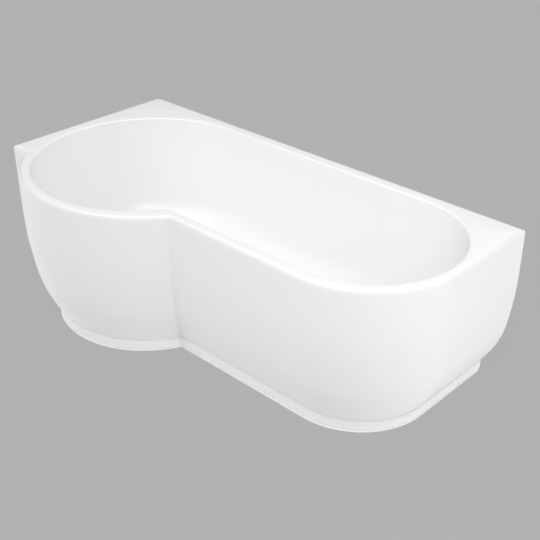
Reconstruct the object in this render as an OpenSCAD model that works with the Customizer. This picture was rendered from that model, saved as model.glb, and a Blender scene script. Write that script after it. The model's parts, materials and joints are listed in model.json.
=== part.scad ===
// P-shaped shower bath with a one-piece skirt, for a corner with walls at the back and left.
// Millimetres. The origin is on the floor under the middle of the rim's bounding box.
// +X runs right along the back wall, +Y points to the back wall and +Z is up.

/* [Overall size] */
// Length along the back wall
bath_length = 1700; // [1650:5:1750]
// Depth from the back wall to the front of the bow
bath_width = 885; // [875:1:895]
// Depth of the narrow end
narrow_width = 685; // [680:1:695]
// Depth of the short side at the left wall
side_width = 695; // [690:1:705]
// Height of the rim above the floor
bath_height = 565; // [550:1:590]

/* [Plan of the skirt] */
// How much larger the bow's radius is than the bowl's round end with its rim
bow_ease = 28; // [24:1:32]
// How far the bow's centre lies to the right of the bowl's round end
bow_shift = 9; // [3:1:15]
// Radius of the crook between the bow and the straight front
crook_r = 14; // [12:1:20]
// Radius of the front right corner at the rim
corner_r = 328; // [315:1:340]

/* [Profile of the skirt] */
// Height of the plinth band
plinth_h = 38; // [30:1:45]
// How far the plinth band stands proud of the skirt above it
plinth_proud = 3; // [2:0.5:4]
// How far the straight front has moved in at the plinth
front_inset = 85; // [75:1:90]
// How far the right end has moved in at the plinth
end_inset = 95; // [85:1:100]
// How far the wall cheek has moved in at the plinth
cheek_inset = 43; // [40:1:47]
// How much smaller the bow's radius is at the plinth
bow_shrink = 126; // [115:1:130]
// How far forward the bow's centre has moved at the plinth
bow_forward = 45; // [40:1:48]
// Height where the skirt starts to lean in
lean_start = 420; // [380:5:460]
// Height where the skirt starts to tuck in under itself
tuck_start = 210; // [180:5:240]
// Share of the inset that comes from the lean
lean_share = 0.64; // [0.55:0.01:0.7]
// Thickness of the skirt
skirt_t = 5; // [4:0.5:6]
// Width of the floor flange inside the plinth
floor_flange_w = 25; // [20:1:27]
// Width of the ledge that carries the rim
ledge_w = 20; // [17:0.5:21]

/* [Rim and bowl] */
// Width of the flat rim at the back wall
rim_back = 41; // [38:1:44]
// Width of the flat rim at the left wall
rim_left = 45; // [42:1:50]
// Width of the flat rim along the straight front
rim_front = 39; // [37:0.5:42]
// Width of the flat rim at the right end
rim_end = 34; // [33:0.5:37]
// Width from the skirt's face to the bowl at the front of the bow
rim_bow = 40; // [38:1:44]
// Radius of the crook inside the bowl
bowl_crook_r = 50; // [45:1:60]
// Height of the inside of the floor at the waste
floor_z = 145; // [140:1:150]
// Fall of the floor from the far end to the waste
floor_fall = 8; // [5:0.5:10]
// Height of the round blend between the walls and the floor
blend_h = 100; // [85:1:110]
// How far the long walls have moved in at the floor
side_draw = 115; // [105:1:120]
// How much further the right end moves in
end_draw = 25; // [15:1:30]
// How much smaller the round end's radius is at the floor
bow_draw = 150; // [140:1:160]
// How much further the left end moves in
left_draw = 30; // [20:1:40]
// Share of the inset that comes from the draft of the walls
draft_share = 0.35; // [0.3:0.01:0.4]
// Thickness of the reinforced acrylic
shell_t = 6; // [5:0.5:6.5]
// Depth of the down-turned lip
lip_h = 35; // [32:1:40]
// Gap between the rim and the skirt's top edge
joint_gap = 3; // [2:0.5:3.5]

/* [Waste and overflow] */
// Distance of the waste from the right end
waste_from_end = 285; // [275:1:290]
// Radius of the hole in the floor for the waste
waste_hole_r = 26; // [25.5:0.5:27]
// Distance of the overflow's centre below the rim
overflow_drop = 87; // [80:1:95]
// Lift of the pop-up plug
plug_lift = 10; // [7:0.5:10]
// Bore radius of the pipe socket at the trap
pipe_socket_r = 20.3; // [20.1:0.1:20.5]

/* [Support] */
// Thickness of the base board
board_t = 18; // [15:1:19]
// Width of a leg cradle
cradle_w = 50; // [45:1:55]
// Height of a leg cradle
cradle_h = 25; // [22:1:26]
// Thickness of the cradles' steel
steel_t = 2; // [1.5:0.5:2.5]
// Radius of the adjuster rods
rod_r = 5; // [4:0.5:5]
// Radius of a foot pad
pad_r = 25; // [20:1:25]

/* [Hidden] */
$fn = 64;

// Fits and small sizes
run_gap = 0.05;      // radial clearance of a turning or sliding shaft
thread_gap = 0.3;    // radial clearance that stands for an engaged thread
hose_gap = 0.35;     // clearance of a hose on its spigot
edge_r = 3;          // rounding of the rim's outer edge
rim_edge_r = 6;      // rounding from the rim into the bowl
roll_w = 4;          // width of the roll along the skirt's top edge
roll_h = 18;         // height of that roll
back_corner_r = 16;  // plan rounding of the rim's back left corner
end_corner_r = 6;    // plan rounding of the rim's back right corner
toe_h = 4;           // height of the lip line along the plinth's bottom
toe_proud = 1.5;     // how far that line stands proud of the plinth
ledge_t = 4;         // thickness of the ledge
flange_t = 4;        // thickness of the floor flange
seal_t = 2;          // thickness of the sealant strip
seal_w = 12;         // width of the sealant strip
seal_drop = 1.5;     // how far the sealant in the joint lies below the rim

// Walls and reference lines
left_x = -bath_length/2;
right_x = bath_length/2;
back_y = bath_width/2;
front_y = back_y-narrow_width;
side_y = back_y-side_width;
// The bowl's round end fills the depth between the rims at the back and at the bow
bowl_bow_r = (bath_width-rim_back-rim_bow)/2;
bowl_x = left_x+rim_left+bowl_bow_r;
bow_r = bowl_bow_r+rim_bow+bow_ease;
bow_x = bowl_x+bow_shift;
bow_y = -back_y+bow_r;
rim_inset = skirt_t+joint_gap;
ledge_z = bath_height-lip_h-seal_t;

// Numbers of points along the plan
n_back_run = 9;
n_corner_pts = 5;
n_left_run = 8;
n_cheek_run = 7;
n_step_run = 3;
n_bow = 34;
n_crook = 6;
n_round = 16;

function mix(a, b, f) = a+(b-a)*f;
function polar(c, r, a) = [c[0]+r*cos(a), c[1]+r*sin(a)];
function arc(c, r, a, b, n, first = 0) = [for (i = [first:n]) polar(c, r, mix(a, b, i/n))];
function run(p, q, n, first = 0, last = 1) = [for (i = [first:n-last]) mix(p, q, i/n)];
function reversed(v) = [for (i = [len(v)-1:-1:0]) v[i]];
function lifted(pts, z) = [for (p = pts) [p[0], p[1], z]];

// Centre of a crook arc of radius r that touches a bow of radius R about c from outside
// and the straight line at height y from the front
function crook_centre(c, R, r, y) = [c[0]+sqrt(pow(R+r, 2)-pow(y-r-c[1], 2)), y-r];
function crook_angle(c, k) = atan2(k[1]-c[1], k[0]-c[0]);

// Share of the skirt's full inset at height z: 0 at the rim, 1 at the plinth
function tuck(z) = lean_share*pow(max(0, lean_start-z)/(lean_start-plinth_h), 2)
    +(1-lean_share)*pow(max(0, tuck_start-z)/(tuck_start-plinth_h), 2);

// Values of the skirt's outline for a share s of the inset and an outward offset o
function sk_c(s) = [bow_x, bow_y-bow_forward*s];
function sk_r(s, o) = bow_r-bow_shrink*s+o;
function sk_side(s, o) = side_y+cheek_inset*pow(s, 1.5)-o;
function sk_front(s, o) = front_y+front_inset*s-o;
function sk_end(s, o) = right_x-end_inset*s+o;
corner_shrink = 69;
function sk_crook(o) = crook_r-o;
function sk_corner(s, o) = corner_r-corner_shrink*s+o;
function sk_step_x(s, o) = bow_x-sqrt(pow(sk_r(s, o), 2)-pow(sk_side(s, o)-sk_c(s)[1], 2));
function sk_start(s, o) = 360+atan2(sk_side(s, o)-sk_c(s)[1], sk_step_x(s, o)-bow_x);

// Bow, crook and corner: the stretch that the rim and the skirt share
function bow_run(s, o) =
    let (c = sk_c(s), R = sk_r(s, o), k = crook_centre(c, R, sk_crook(o), sk_front(s, o)),
        a = crook_angle(c, k), q = [sk_end(s, o)-sk_corner(s, o), sk_front(s, o)+sk_corner(s, o)])
    concat(arc(c, R, sk_start(s, o), 360+a, n_bow),
        arc(k, sk_crook(o), 180+a, 90, n_crook, 1),
        arc(q, sk_corner(s, o), -90, 0, n_round));

// The skirt's plan from the left wall to the back wall
function skirt_path(s, o) = concat([[left_x, sk_side(s, o)]], bow_run(s, o), [[sk_end(s, o), back_y]]);

// The rim's outer edge as a closed loop, with an outward offset o
function rim_loop(o) =
    let (p = o-rim_inset, s = sk_side(0, p), x = sk_end(0, p), l = left_x-o, b = back_y+o,
        rc = back_corner_r+o, re = max(end_corner_r+o, 0.5), m = [bowl_x, bowl_y],
        y0 = sk_front(0, p)+sk_corner(0, p))
    concat(run([m[0], b], [l+rc, b], n_back_run),
        arc([l+rc, b-rc], rc, 90, 180, n_corner_pts-1),
        run([l, b-rc], [l, m[1]], n_left_run+1, 1),
        run([l, m[1]], [l, s], n_cheek_run),
        run([l, s], [sk_step_x(0, p), s], n_step_run),
        bow_run(0, p),
        run([x, y0], [x, b-re], n_round/2, 1),
        [for (a = [0, 45, 90]) polar([x-re, b-re], re, a)],
        run([x-re, b], [round_x, b], n_round/2-2, 1, 0));

// Values of the bowl
bowl_y = back_y-rim_back-bowl_bow_r;
bowl_front = front_y+rim_front;
round_r = (back_y-rim_back-bowl_front)/2;
round_x = right_x-rim_end-round_r;
mid_y = bowl_front+round_r;
bowl_top = bath_height-rim_edge_r;
blend_top = floor_z+blend_h;
crook_open = 60;

// The bowl's plan as a closed loop, for a share q of the inset and an outward offset o
function bowl_loop(q, o) =
    let (c = [bowl_x+left_draw*q, bowl_y+(bow_draw-side_draw)*q], R = bowl_bow_r-bow_draw*q+o,
        r = bowl_crook_r+crook_open*q-o, k = crook_centre(c, R, r, bowl_front+side_draw*q-o),
        a = crook_angle(c, k), e = [round_x-end_draw*q, mid_y], w = round_r-side_draw*q+o,
        n1 = n_back_run+n_corner_pts+n_left_run, n2 = n_cheek_run+n_step_run, t = sk_start(0, 0))
    concat([for (i = [0:n1-1]) polar(c, R, mix(90, 180, i/n1))],
        [for (i = [0:n2-1]) polar(c, R, mix(180, t, i/n2))],
        arc(c, R, t, 360+a, n_bow),
        arc(k, r, 180+a, 90, n_crook, 1),
        arc(e, w, -90, 0, n_round),
        arc(e, w, 0, 90, n_round, 1));

// Share of the bowl's inset at height z on the wall, and at angle a round the blend
function draft(z) = draft_share*(bowl_top-z)/(bowl_top-floor_z);
function blend_z(a) = blend_top-blend_h*sin(a);
function blend_q(a) = draft(blend_z(a))+(1-draft_share)*(1-cos(a));

// The inside falls towards the waste, the underside is level
waste_x = right_x-waste_from_end;
function fallen(pts, z, f) =
    [for (p = pts) [p[0], p[1], z+f*floor_fall*(waste_x-p[0])/(waste_x-left_x)]];
function depth_share(z) = (bowl_top-z)/(bowl_top-floor_z);
wall_z = [for (i = [1:3]) mix(blend_top, bowl_top, i/4)];
blend_a = [for (i = [0:6]) i*15];
deck_z = bath_height-shell_t+1;
inner_rings = concat(
    [for (a = reversed(blend_a)) fallen(bowl_loop(blend_q(a), 0), blend_z(a), depth_share(blend_z(a)))],
    [for (z = wall_z) fallen(bowl_loop(draft(z), 0), z, depth_share(z))],
    [for (a = [0:30:90]) lifted(bowl_loop(0, rim_edge_r*(1-cos(a))), bowl_top+rim_edge_r*sin(a))]);
lip_rings = [
    lifted(rim_loop(-edge_r), bath_height),
    lifted(rim_loop(-edge_r*(1-cos(45))), bath_height-edge_r*(1-sin(45))),
    lifted(rim_loop(0), bath_height-edge_r),
    lifted(rim_loop(0), bath_height-lip_h),
    lifted(rim_loop(-skirt_t), bath_height-lip_h),
    lifted(rim_loop(-skirt_t), deck_z)];
outer_rings = concat(
    [lifted(bowl_loop(0, shell_t+rim_edge_r/2), deck_z)],
    [for (z = reversed(wall_z)) lifted(bowl_loop(draft(z), shell_t), z)],
    [for (a = blend_a) lifted(bowl_loop(blend_q(a), shell_t*cos(a)), blend_z(a)-shell_t*sin(a))]);

// Triangles between ring k and the next of n points each; the last flag joins the ring's ends
function band(k, j, n, closed) =
    [for (i = [0:closed ? n-1 : n-2]) let (u = (i+1)%n)
        each [[k*n+i, j*n+i, j*n+u], [k*n+i, j*n+u, k*n+u]]];

// A solid through closed rings, with a flat cap at each end
module capped_rings(rings) {
    n = len(rings[0]);
    m = len(rings);
    polyhedron(points = [for (r = rings) each r], convexity = 10,
        faces = concat([for (k = [0:m-2]) each band(k+1, k, n, true)],
            [[for (i = [n-1:-1:0]) i]], [[for (i = [0:n-1]) (m-1)*n+i]]));
}

// Overflow: its axis stands square to the right end wall, which leans by overflow_tilt
overflow_tilt = atan((side_draw+end_draw)*draft_share/(bowl_top-floor_z));
overflow_z = bath_height-overflow_drop;
overflow_x = round_x+round_r-(side_draw+end_draw)*draft(overflow_z);
overflow_hole_r = 20;
overflow_pad_r = 38;
pad_front = 3;
pad_back = -8;
seat_r = 38;
seat_depth = 2;
under_z = floor_z-shell_t;
seat_z = floor_z-seat_depth;

// Places its children with +Z out of the wall into the bowl and +X up the wall
module at_overflow() {
    translate([overflow_x, mid_y, overflow_z]) rotate([0, overflow_tilt-90, 0]) children();
}

// Places its children at the waste, at height z
module at_waste(z) {
    translate([waste_x, mid_y, z]) children();
}

module ring(outer, inner, h) {
    difference() {
        cylinder(r = outer, h = h);
        translate([0, 0, -1]) cylinder(r = inner, h = h+2);
    }
}

module tub_shell() color("white") difference() {
    union() {
        capped_rings(concat(inner_rings, lip_rings, outer_rings));
        at_overflow() translate([0, 0, pad_back]) cylinder(r = overflow_pad_r, h = pad_front-pad_back);
    }
    at_waste(under_z-1) cylinder(r = waste_hole_r, h = shell_t+2*floor_fall);
    at_waste(seat_z) cylinder(r = seat_r, h = 2*floor_fall);
    at_overflow() translate([0, 0, pad_back-1]) cylinder(r = overflow_hole_r, h = pad_front-pad_back+2);
}

// Section of the skirt as [share of the inset, outward offset, height], once round
rise = [for (i = [0:11]) mix(plinth_h+1, lean_start, pow(i/11, 1.2))];
skirt_section = concat(
    [[1, plinth_proud+toe_proud, 0], [1, plinth_proud+toe_proud, toe_h-1], [1, plinth_proud, toe_h]],
    [[1, plinth_proud, plinth_h-1], [1, plinth_proud-1, plinth_h]],
    [for (z = rise) [tuck(z), 0, z]],
    [for (a = [0:30:90]) [0, -roll_w*(1-cos(a)), bath_height-roll_h*(1-sin(a))]],
    [[0, -skirt_t, bath_height], [0, -skirt_t, ledge_z], [0, -skirt_t-ledge_w, ledge_z]],
    [[0, -skirt_t-ledge_w, ledge_z-ledge_t], [0, -skirt_t, ledge_z-ledge_t]],
    [for (z = reversed(rise)) [tuck(z), -skirt_t, z]],
    [[1, -skirt_t, flange_t], [1, -skirt_t-floor_flange_w, flange_t], [1, -skirt_t-floor_flange_w, 0]]);

module skirt_shell() color("white") difference() {
    rings = [for (p = skirt_section) lifted(skirt_path(p[0], p[1]), p[2])];
    n = len(rings[0]);
    m = len(rings);
    polyhedron(points = [for (r = rings) each r], convexity = 10,
        faces = concat([for (k = [0:m-1]) each band(k, (k+1)%m, n, false)],
            [[for (k = [m-1:-1:0]) k*n]], [[for (k = [0:m-1]) k*n+n-1]]));
    for (p = cleat_places) cleat_hole(p);
}

// A strip on the ledge under the rim's lip, and the filling of the joint above it
module seal_strip(width, height) translate([0, 0, ledge_z]) linear_extrude(height)
    polygon(concat(skirt_path(0, -skirt_t), reversed(skirt_path(0, -skirt_t-width))));
module joint_seal() color("gainsboro") union() {
    seal_strip(joint_gap+seal_w, seal_t);
    seal_strip(joint_gap, bath_height-seal_drop-ledge_z);
}

// Base board, cradles and feet
board_inset = 12;
board_from_waste = 95;
board_end = waste_x-board_from_waste;
board_z = under_z-board_t;
cradle_left_of_bow = 126;
cradle_right_of_bow = 214;
cradle_from_waste = 165;
cradle_x = [bow_x-cradle_left_of_bow, bow_x+cradle_right_of_bow, waste_x-cradle_from_waste];
cradle_over = 28;
nut_h = 8;
nut_r = 9.8;
nut_room = 3;        // room between a leg nut and the board
foot_gap = 5;        // room between a foot pad and the skirt's flange
foot_line = skirt_t+floor_flange_w+foot_gap+pad_r;
function bow_foot_y(x) = min(sk_front(1, -foot_line),
    sk_c(1)[1]-sqrt(pow(sk_r(1, -foot_line), 2)-pow(x-bow_x, 2)));
foot_front = [bow_foot_y(cradle_x[0]), bow_foot_y(cradle_x[1]), sk_front(1, -foot_line)];
foot_from_back = 122.5;
middle_foot_from_back = 102.5;
foot_back = [back_y-foot_from_back, back_y-middle_foot_from_back, back_y-foot_from_back];
screw_r = 2;
screw_hole_r = screw_r+thread_gap;
screw_side = 14;
screw_head_r = 4;
screw_head_h = 2.5;
screw_depth = 12;
web_z = board_z-steel_t;
rod_foot_z = 8;
rod_top_z = board_z+nut_h+4;
screw_in = 35;       // distance of a screw row from the board's straight edges
screw_bow = 145;     // distance of a screw row from the middle of the board's round end
board_bow_y = bowl_y+bow_draw-side_draw;
board_front = bowl_front+side_draw+board_inset;
board_back = back_y-rim_back-side_draw-board_inset;
straight_rows = [board_front+screw_in, board_back-screw_in];
screw_rows = [[board_bow_y-screw_bow, board_bow_y+screw_bow], straight_rows, straight_rows];

// The board follows the bowl's floor and keeps clear of the feet along the skirt
module base_board() color("burlywood") difference() {
    translate([0, 0, board_z]) linear_extrude(board_t) intersection() {
        polygon(bowl_loop(1, -board_inset));
        polygon(concat(skirt_path(1, -foot_line-nut_r-nut_room), [[left_x, back_y]]));
        translate([left_x, -back_y]) square([board_end-left_x, bath_width]);
    }
    for (k = [0:2], y = screw_rows[k], s = [-1, 1])
        translate([cradle_x[k]+s*screw_side, y, board_z-1]) cylinder(r = screw_hole_r, h = screw_depth+2);
}

module cradle(k) color("lightslategray") difference() {
    y0 = foot_front[k]-cradle_over;
    y1 = foot_back[k]+cradle_over;
    w = cradle_w/2;
    translate([cradle_x[k], y1, board_z]) rotate([90, 0, 0]) linear_extrude(y1-y0)
        polygon([[-w, 0], [-w, -cradle_h], [steel_t-w, -cradle_h], [steel_t-w, -steel_t],
            [w-steel_t, -steel_t], [w-steel_t, -cradle_h], [w, -cradle_h], [w, 0]]);
    for (y = [foot_front[k], foot_back[k]])
        translate([cradle_x[k], y, web_z-1]) cylinder(r = rod_r+thread_gap, h = steel_t+2);
    for (y = screw_rows[k], s = [-1, 1])
        translate([cradle_x[k]+s*screw_side, y, web_z-1]) cylinder(r = screw_hole_r, h = steel_t+2);
}
module cradle_left() cradle(0);
module cradle_middle() cradle(1);
module cradle_right() cradle(2);

module cradle_screws() color("silver") for (k = [0:2], y = screw_rows[k], s = [-1, 1])
    translate([cradle_x[k]+s*screw_side, y, web_z]) union() {
        translate([0, 0, -screw_head_h]) cylinder(r = screw_head_r, h = screw_head_h);
        cylinder(r = screw_r, h = screw_depth);
    }

module leg_nuts() color("silver")
    for (k = [0:2], y = [foot_front[k], foot_back[k]], z = [web_z-nut_h, board_z])
    translate([cradle_x[k], y, z]) difference() {
        cylinder(r = nut_r, h = nut_h, $fn = 6);
        translate([0, 0, -1]) cylinder(r = rod_r+thread_gap, h = nut_h+2);
    }

// Feet are counted from the left, the front one first
function foot_at(i) = let (k = floor((i-1)/2)) [cradle_x[k], i%2 == 1 ? foot_front[k] : foot_back[k], 0];
pad_h = 6;
pad_boss_r = 12;
pad_boss_h = 18;

module leg_rod(i) color("silver") translate(foot_at(i)+[0, 0, rod_foot_z])
    cylinder(r = rod_r, h = rod_top_z-rod_foot_z);

module foot_pad(i) color("dimgray") translate(foot_at(i)) difference() {
    union() {
        cylinder(r = pad_r, h = pad_h);
        cylinder(r = pad_boss_r, h = pad_boss_h);
    }
    translate([0, 0, rod_foot_z]) cylinder(r = rod_r+thread_gap, h = pad_boss_h);
}

// Waste: everything here stands on the waste's axis
top_seal_t = 1.5;
under_seal_t = 3;
flange_r = 35;
flange_h = 3;
tail_r = 24;
tail_bore_r = 21;
tail_bottom = 88;
boss_r = 7;
stem_r = 4;
cross_z = 128;
cross_h = 6;
rib_w = 3;
flange_z = seat_z+top_seal_t;
flange_top = flange_z+flange_h;
port_z = 113;
window_r = 5;
plug_gap = 0.3;
plug_seal_h = 2;
plug_seal_r = 27;
plug_spigot_r = 20;
plug_cap_r = 29;
plug_cap_h = 4;
stem_below = 20;
stem_bottom = cross_z-stem_below-plug_lift;
seal_inset = 2;
body_top = under_z-under_seal_t;
body_flange_r = 39;
body_flange_h = 5;
chamber_r = 31;
chamber_bore_r = 27;
chamber_z = 104;
neck_z = 84;
outlet_r = 24;
outlet_bore_r = 18;
outlet_z = 60;
spigot_r = 8.4;
spigot_bore_r = 6.5;
collar_r = 13;
port_reach = 62;
port_stop = 38;

module waste_flange() color("silver") difference() {
    union() {
        at_waste(tail_bottom) ring(tail_r, tail_bore_r, flange_z-tail_bottom+1);
        at_waste(flange_z) ring(flange_r, tail_bore_r, flange_h);
        at_waste(cross_z) ring(boss_r, stem_r+run_gap, cross_h);
        for (a = [0:90:270])
            at_waste(cross_z) rotate([0, 0, a]) translate([boss_r-1, -rib_w/2, 0])
                cube([tail_bore_r-boss_r+2, rib_w, cross_h]);
    }
    for (a = [45:90:315])
        at_waste(port_z) rotate([0, 90, a]) cylinder(r = window_r, h = tail_r+2);
}

module waste_plug() color("silver") {
    z = flange_top+plug_gap;
    union() {
        at_waste(z) cylinder(r = plug_spigot_r, h = plug_seal_h+1);
        at_waste(z+plug_seal_h) cylinder(r = plug_cap_r, h = plug_cap_h-1);
        at_waste(z+plug_seal_h+plug_cap_h-1) cylinder(r1 = plug_cap_r, r2 = plug_cap_r-2, h = 1);
        at_waste(stem_bottom) cylinder(r = stem_r, h = z-stem_bottom+1);
    }
}

module plug_seal() color("dimgray") at_waste(flange_top+plug_gap)
    ring(plug_seal_r, plug_spigot_r, plug_seal_h);
module waste_top_seal() color("dimgray") at_waste(seat_z)
    ring(flange_r-seal_inset, tail_r+seal_inset/2, top_seal_t);
module waste_under_seal() color("dimgray") at_waste(body_top)
    ring(body_flange_r-seal_inset, tail_r+seal_inset/2, under_seal_t);

module waste_body() color("ghostwhite") difference() {
    union() {
        at_waste(body_top-body_flange_h) cylinder(r = body_flange_r, h = body_flange_h);
        at_waste(neck_z-4) cylinder(r = chamber_r, h = body_top-body_flange_h-neck_z+5);
        at_waste(outlet_z) cylinder(r = outlet_r, h = neck_z-outlet_z);
        at_waste(port_z) rotate([0, 90, 0]) cylinder(r = spigot_r, h = port_reach);
        at_waste(port_z) rotate([0, 90, 0]) cylinder(r = collar_r, h = port_stop);
    }
    at_waste(chamber_z) cylinder(r = chamber_bore_r, h = body_top-chamber_z+1);
    at_waste(neck_z) cylinder(r = tail_r+thread_gap, h = chamber_z-neck_z+1);
    at_waste(outlet_z-1) cylinder(r = outlet_bore_r, h = neck_z-outlet_z+2);
    at_waste(port_z) rotate([0, 90, 0]) cylinder(r = spigot_bore_r, h = port_reach+1);
}

// Trap: a low drum with a dip tube and a weir
washer_t = 2.5;
inlet_top = outlet_z-washer_t;
inlet_flange_h = 4;
inlet_r = 20;
inlet_bore_r = 17;
trap_nut_r = 30;
trap_nut_top = 76;
trap_nut_lip = 3.5;
drum_r = 42;
drum_t = 3;
drum_z = 8;
drum_top = 46;
dip_z = 15;
weir_y = 25;
weir_half = sqrt(pow(drum_r-drum_t, 2)-pow(weir_y, 2))+0.6;
weir_z = 34;
pipe_z = 34;
socket_t = 3.5;
socket_start = 50;
socket_end = 84;
socket_stop = 54;
outlet_hole_r = 12;
clean_r = 14;
clean_z = drum_z+drum_r/2;
clean_back = 4;
clean_head_r = 18;
clean_head_h = 6;
outlet_nut_r = 30;
outlet_nut_h = 22;
outlet_nut_lap = 18;

module trap_nut() color("ghostwhite") difference() {
    lip_z = inlet_top-inlet_flange_h-trap_nut_lip;
    at_waste(lip_z) cylinder(r = trap_nut_r, h = trap_nut_top-lip_z, $fn = 12);
    at_waste(lip_z-1) cylinder(r = inlet_r+thread_gap, h = trap_nut_lip+2);
    at_waste(lip_z+trap_nut_lip) cylinder(r = outlet_r+thread_gap, h = trap_nut_top);
}

module trap_washer() color("dimgray") at_waste(inlet_top) ring(outlet_r, outlet_bore_r, washer_t);

module trap_body() color("ghostwhite") difference() {
    union() {
        difference() {
            at_waste(drum_z) cylinder(r = drum_r, h = drum_top-drum_z);
            at_waste(drum_z+drum_t) cylinder(r = drum_r-drum_t, h = drum_top-drum_z-2*drum_t);
        }
        at_waste(dip_z) cylinder(r = inlet_r, h = inlet_top-dip_z);
        at_waste(inlet_top-inlet_flange_h) cylinder(r = outlet_r, h = inlet_flange_h);
        at_waste(0) translate([-weir_half, weir_y, drum_z+1]) cube([2*weir_half, drum_t, weir_z-drum_z]);
        at_waste(pipe_z) rotate([-90, 0, 0]) translate([0, 0, drum_r-2])
            cylinder(r = inlet_r, h = socket_start-drum_r+3);
        at_waste(pipe_z) rotate([-90, 0, 0]) translate([0, 0, socket_start])
            cylinder(r = pipe_socket_r+socket_t, h = socket_end-socket_start);
    }
    at_waste(dip_z-1) cylinder(r = inlet_bore_r, h = inlet_top-dip_z+2);
    at_waste(pipe_z) rotate([-90, 0, 0]) translate([0, 0, drum_r-drum_t-1])
        cylinder(r = outlet_hole_r, h = socket_stop-drum_r+drum_t+2);
    at_waste(pipe_z) rotate([-90, 0, 0]) translate([0, 0, socket_stop])
        cylinder(r = pipe_socket_r, h = socket_end-socket_stop+1);
    at_waste(clean_z) rotate([90, 0, 0]) translate([0, 0, (inlet_r+drum_r-drum_t)/2])
        cylinder(r = clean_r, h = drum_r);
}

module trap_clean_out() color("dimgray") at_waste(clean_z) rotate([90, 0, 0]) union() {
    translate([0, 0, drum_r-drum_t-clean_back])
        cylinder(r = clean_r-thread_gap, h = clean_back+drum_t+1);
    translate([0, 0, drum_r+thread_gap]) cylinder(r = clean_head_r, h = clean_head_h, $fn = 8);
}

module trap_outlet_nut() color("ghostwhite") at_waste(pipe_z) rotate([-90, 0, 0]) difference() {
    nut_start = socket_end-outlet_nut_lap;
    translate([0, 0, nut_start]) cylinder(r = outlet_nut_r, h = outlet_nut_h, $fn = 12);
    translate([0, 0, nut_start-1]) cylinder(r = pipe_socket_r+socket_t+thread_gap, h = outlet_nut_lap+1);
    translate([0, 0, nut_start]) cylinder(r = pipe_socket_r+thread_gap, h = outlet_nut_h+1);
}

// Overflow: sizes along its own axis, 0 on the wall
front_seal_t = 1.5;
rear_seal_t = 2.5;
plate_r = 36;
plate_h = 3;
plate_z = pad_front+front_seal_t;
plate_spigot_r = 15.7;
plate_open_r = 13;
plate_boss_r = 7;
spigot_back = -6;
neck_r = 19;
neck_bore_r = plate_spigot_r+thread_gap;
knob_r = 32;
knob_z = 12;
knob_h = 11;
shaft_back = -12;
body_front = pad_back-rear_seal_t;
box_flange_r = 30;
box_flange_h = 4;
box_r = 26;
box_depth = 20;
box_bore_r = 23;
box_back_t = 2.5;
hose_axis = body_front-box_flange_h-8;
hose_stop = 30;
spigot_end = 54;
plate_hub_depth = 8;
knob_chamfer = 2;
grip_r = 18;
grip_depth = 6;

module overflow_plate() color("silver") at_overflow() union() {
    translate([0, 0, plate_z]) ring(plate_r, plate_open_r, plate_h);
    translate([0, 0, spigot_back]) ring(plate_spigot_r, plate_open_r, plate_z-spigot_back+1);
    translate([0, 0, plate_z-plate_hub_depth]) ring(plate_boss_r, stem_r+run_gap, plate_h+plate_hub_depth);
    for (a = [0:120:240])
        rotate([0, 0, a]) translate([plate_boss_r-1, -rib_w/2, plate_z-plate_hub_depth])
            cube([plate_open_r-plate_boss_r+2, rib_w, plate_h+plate_hub_depth]);
}

module overflow_knob() color("silver") at_overflow() difference() {
    union() {
        translate([0, 0, knob_z]) cylinder(r = knob_r, h = knob_h-knob_chamfer);
        translate([0, 0, knob_z+knob_h-knob_chamfer])
            cylinder(r1 = knob_r, r2 = knob_r-knob_chamfer, h = knob_chamfer);
        translate([0, 0, shaft_back]) cylinder(r = stem_r, h = knob_z-shaft_back+1);
    }
    for (s = [-1, 1])
        translate([0, s*(knob_r+grip_r-grip_depth), knob_z-1]) cylinder(r = grip_r, h = knob_h+2);
}

module overflow_front_seal() color("dimgray") at_overflow() translate([0, 0, pad_front])
    ring(plate_r-2, overflow_hole_r+2, front_seal_t);
module overflow_rear_seal() color("dimgray") at_overflow() translate([0, 0, body_front])
    ring(box_flange_r-1, overflow_hole_r+1, rear_seal_t);

module overflow_body() color("ghostwhite") at_overflow() difference() {
    union() {
        translate([0, 0, body_front-box_flange_h]) cylinder(r = box_flange_r, h = box_flange_h);
        translate([0, 0, body_front-box_depth]) cylinder(r = box_r, h = box_depth-1);
        translate([0, 0, body_front-1]) cylinder(r = neck_r, h = pad_front-body_front+1);
        translate([0, 0, hose_axis]) rotate([0, -90, 0]) cylinder(r = spigot_r, h = spigot_end);
        translate([0, 0, hose_axis]) rotate([0, -90, 0]) translate([0, 0, box_r-4])
            cylinder(r = box_depth/2, h = hose_stop-box_r+4);
    }
    translate([0, 0, body_front-box_depth+box_back_t])
        cylinder(r = box_bore_r, h = box_depth-box_flange_h-box_back_t);
    translate([0, 0, body_front-box_flange_h-1])
        cylinder(r = neck_bore_r, h = pad_front-body_front+box_flange_h+2);
    translate([0, 0, hose_axis]) rotate([0, -90, 0]) cylinder(r = spigot_bore_r, h = spigot_end+1);
}

// Ribbed hose: a straight run down the wall, one bend and a straight run to the port
hose_crest_r = 13;
hose_valley_r = 11.4;
hose_sides = 8;
hose_bore_r = (spigot_r+hose_gap)/cos(180/hose_sides);
hose_bend_r = 112;
rib_pitch = 5;
rib_crest = 0.3;
rib_valley = 0.75;
hose_h0 = -90-overflow_tilt;
hose_x0 = overflow_x-hose_axis*cos(overflow_tilt)-hose_stop*sin(overflow_tilt);
hose_z0 = overflow_z+hose_axis*sin(overflow_tilt)-hose_stop*cos(overflow_tilt);
hose_turn = 180+hose_h0;
hose_run_1 = (hose_z0-port_z-hose_bend_r*(1+cos(hose_h0)))/-sin(hose_h0);
hose_run_2 = hose_bend_r*hose_turn*PI/180;
hose_x1 = hose_x0+hose_run_1*cos(hose_h0)+hose_bend_r*sin(hose_h0);
hose_run_3 = hose_x1-(waste_x+port_stop);
hose_length = hose_run_1+hose_run_2+hose_run_3;
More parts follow.
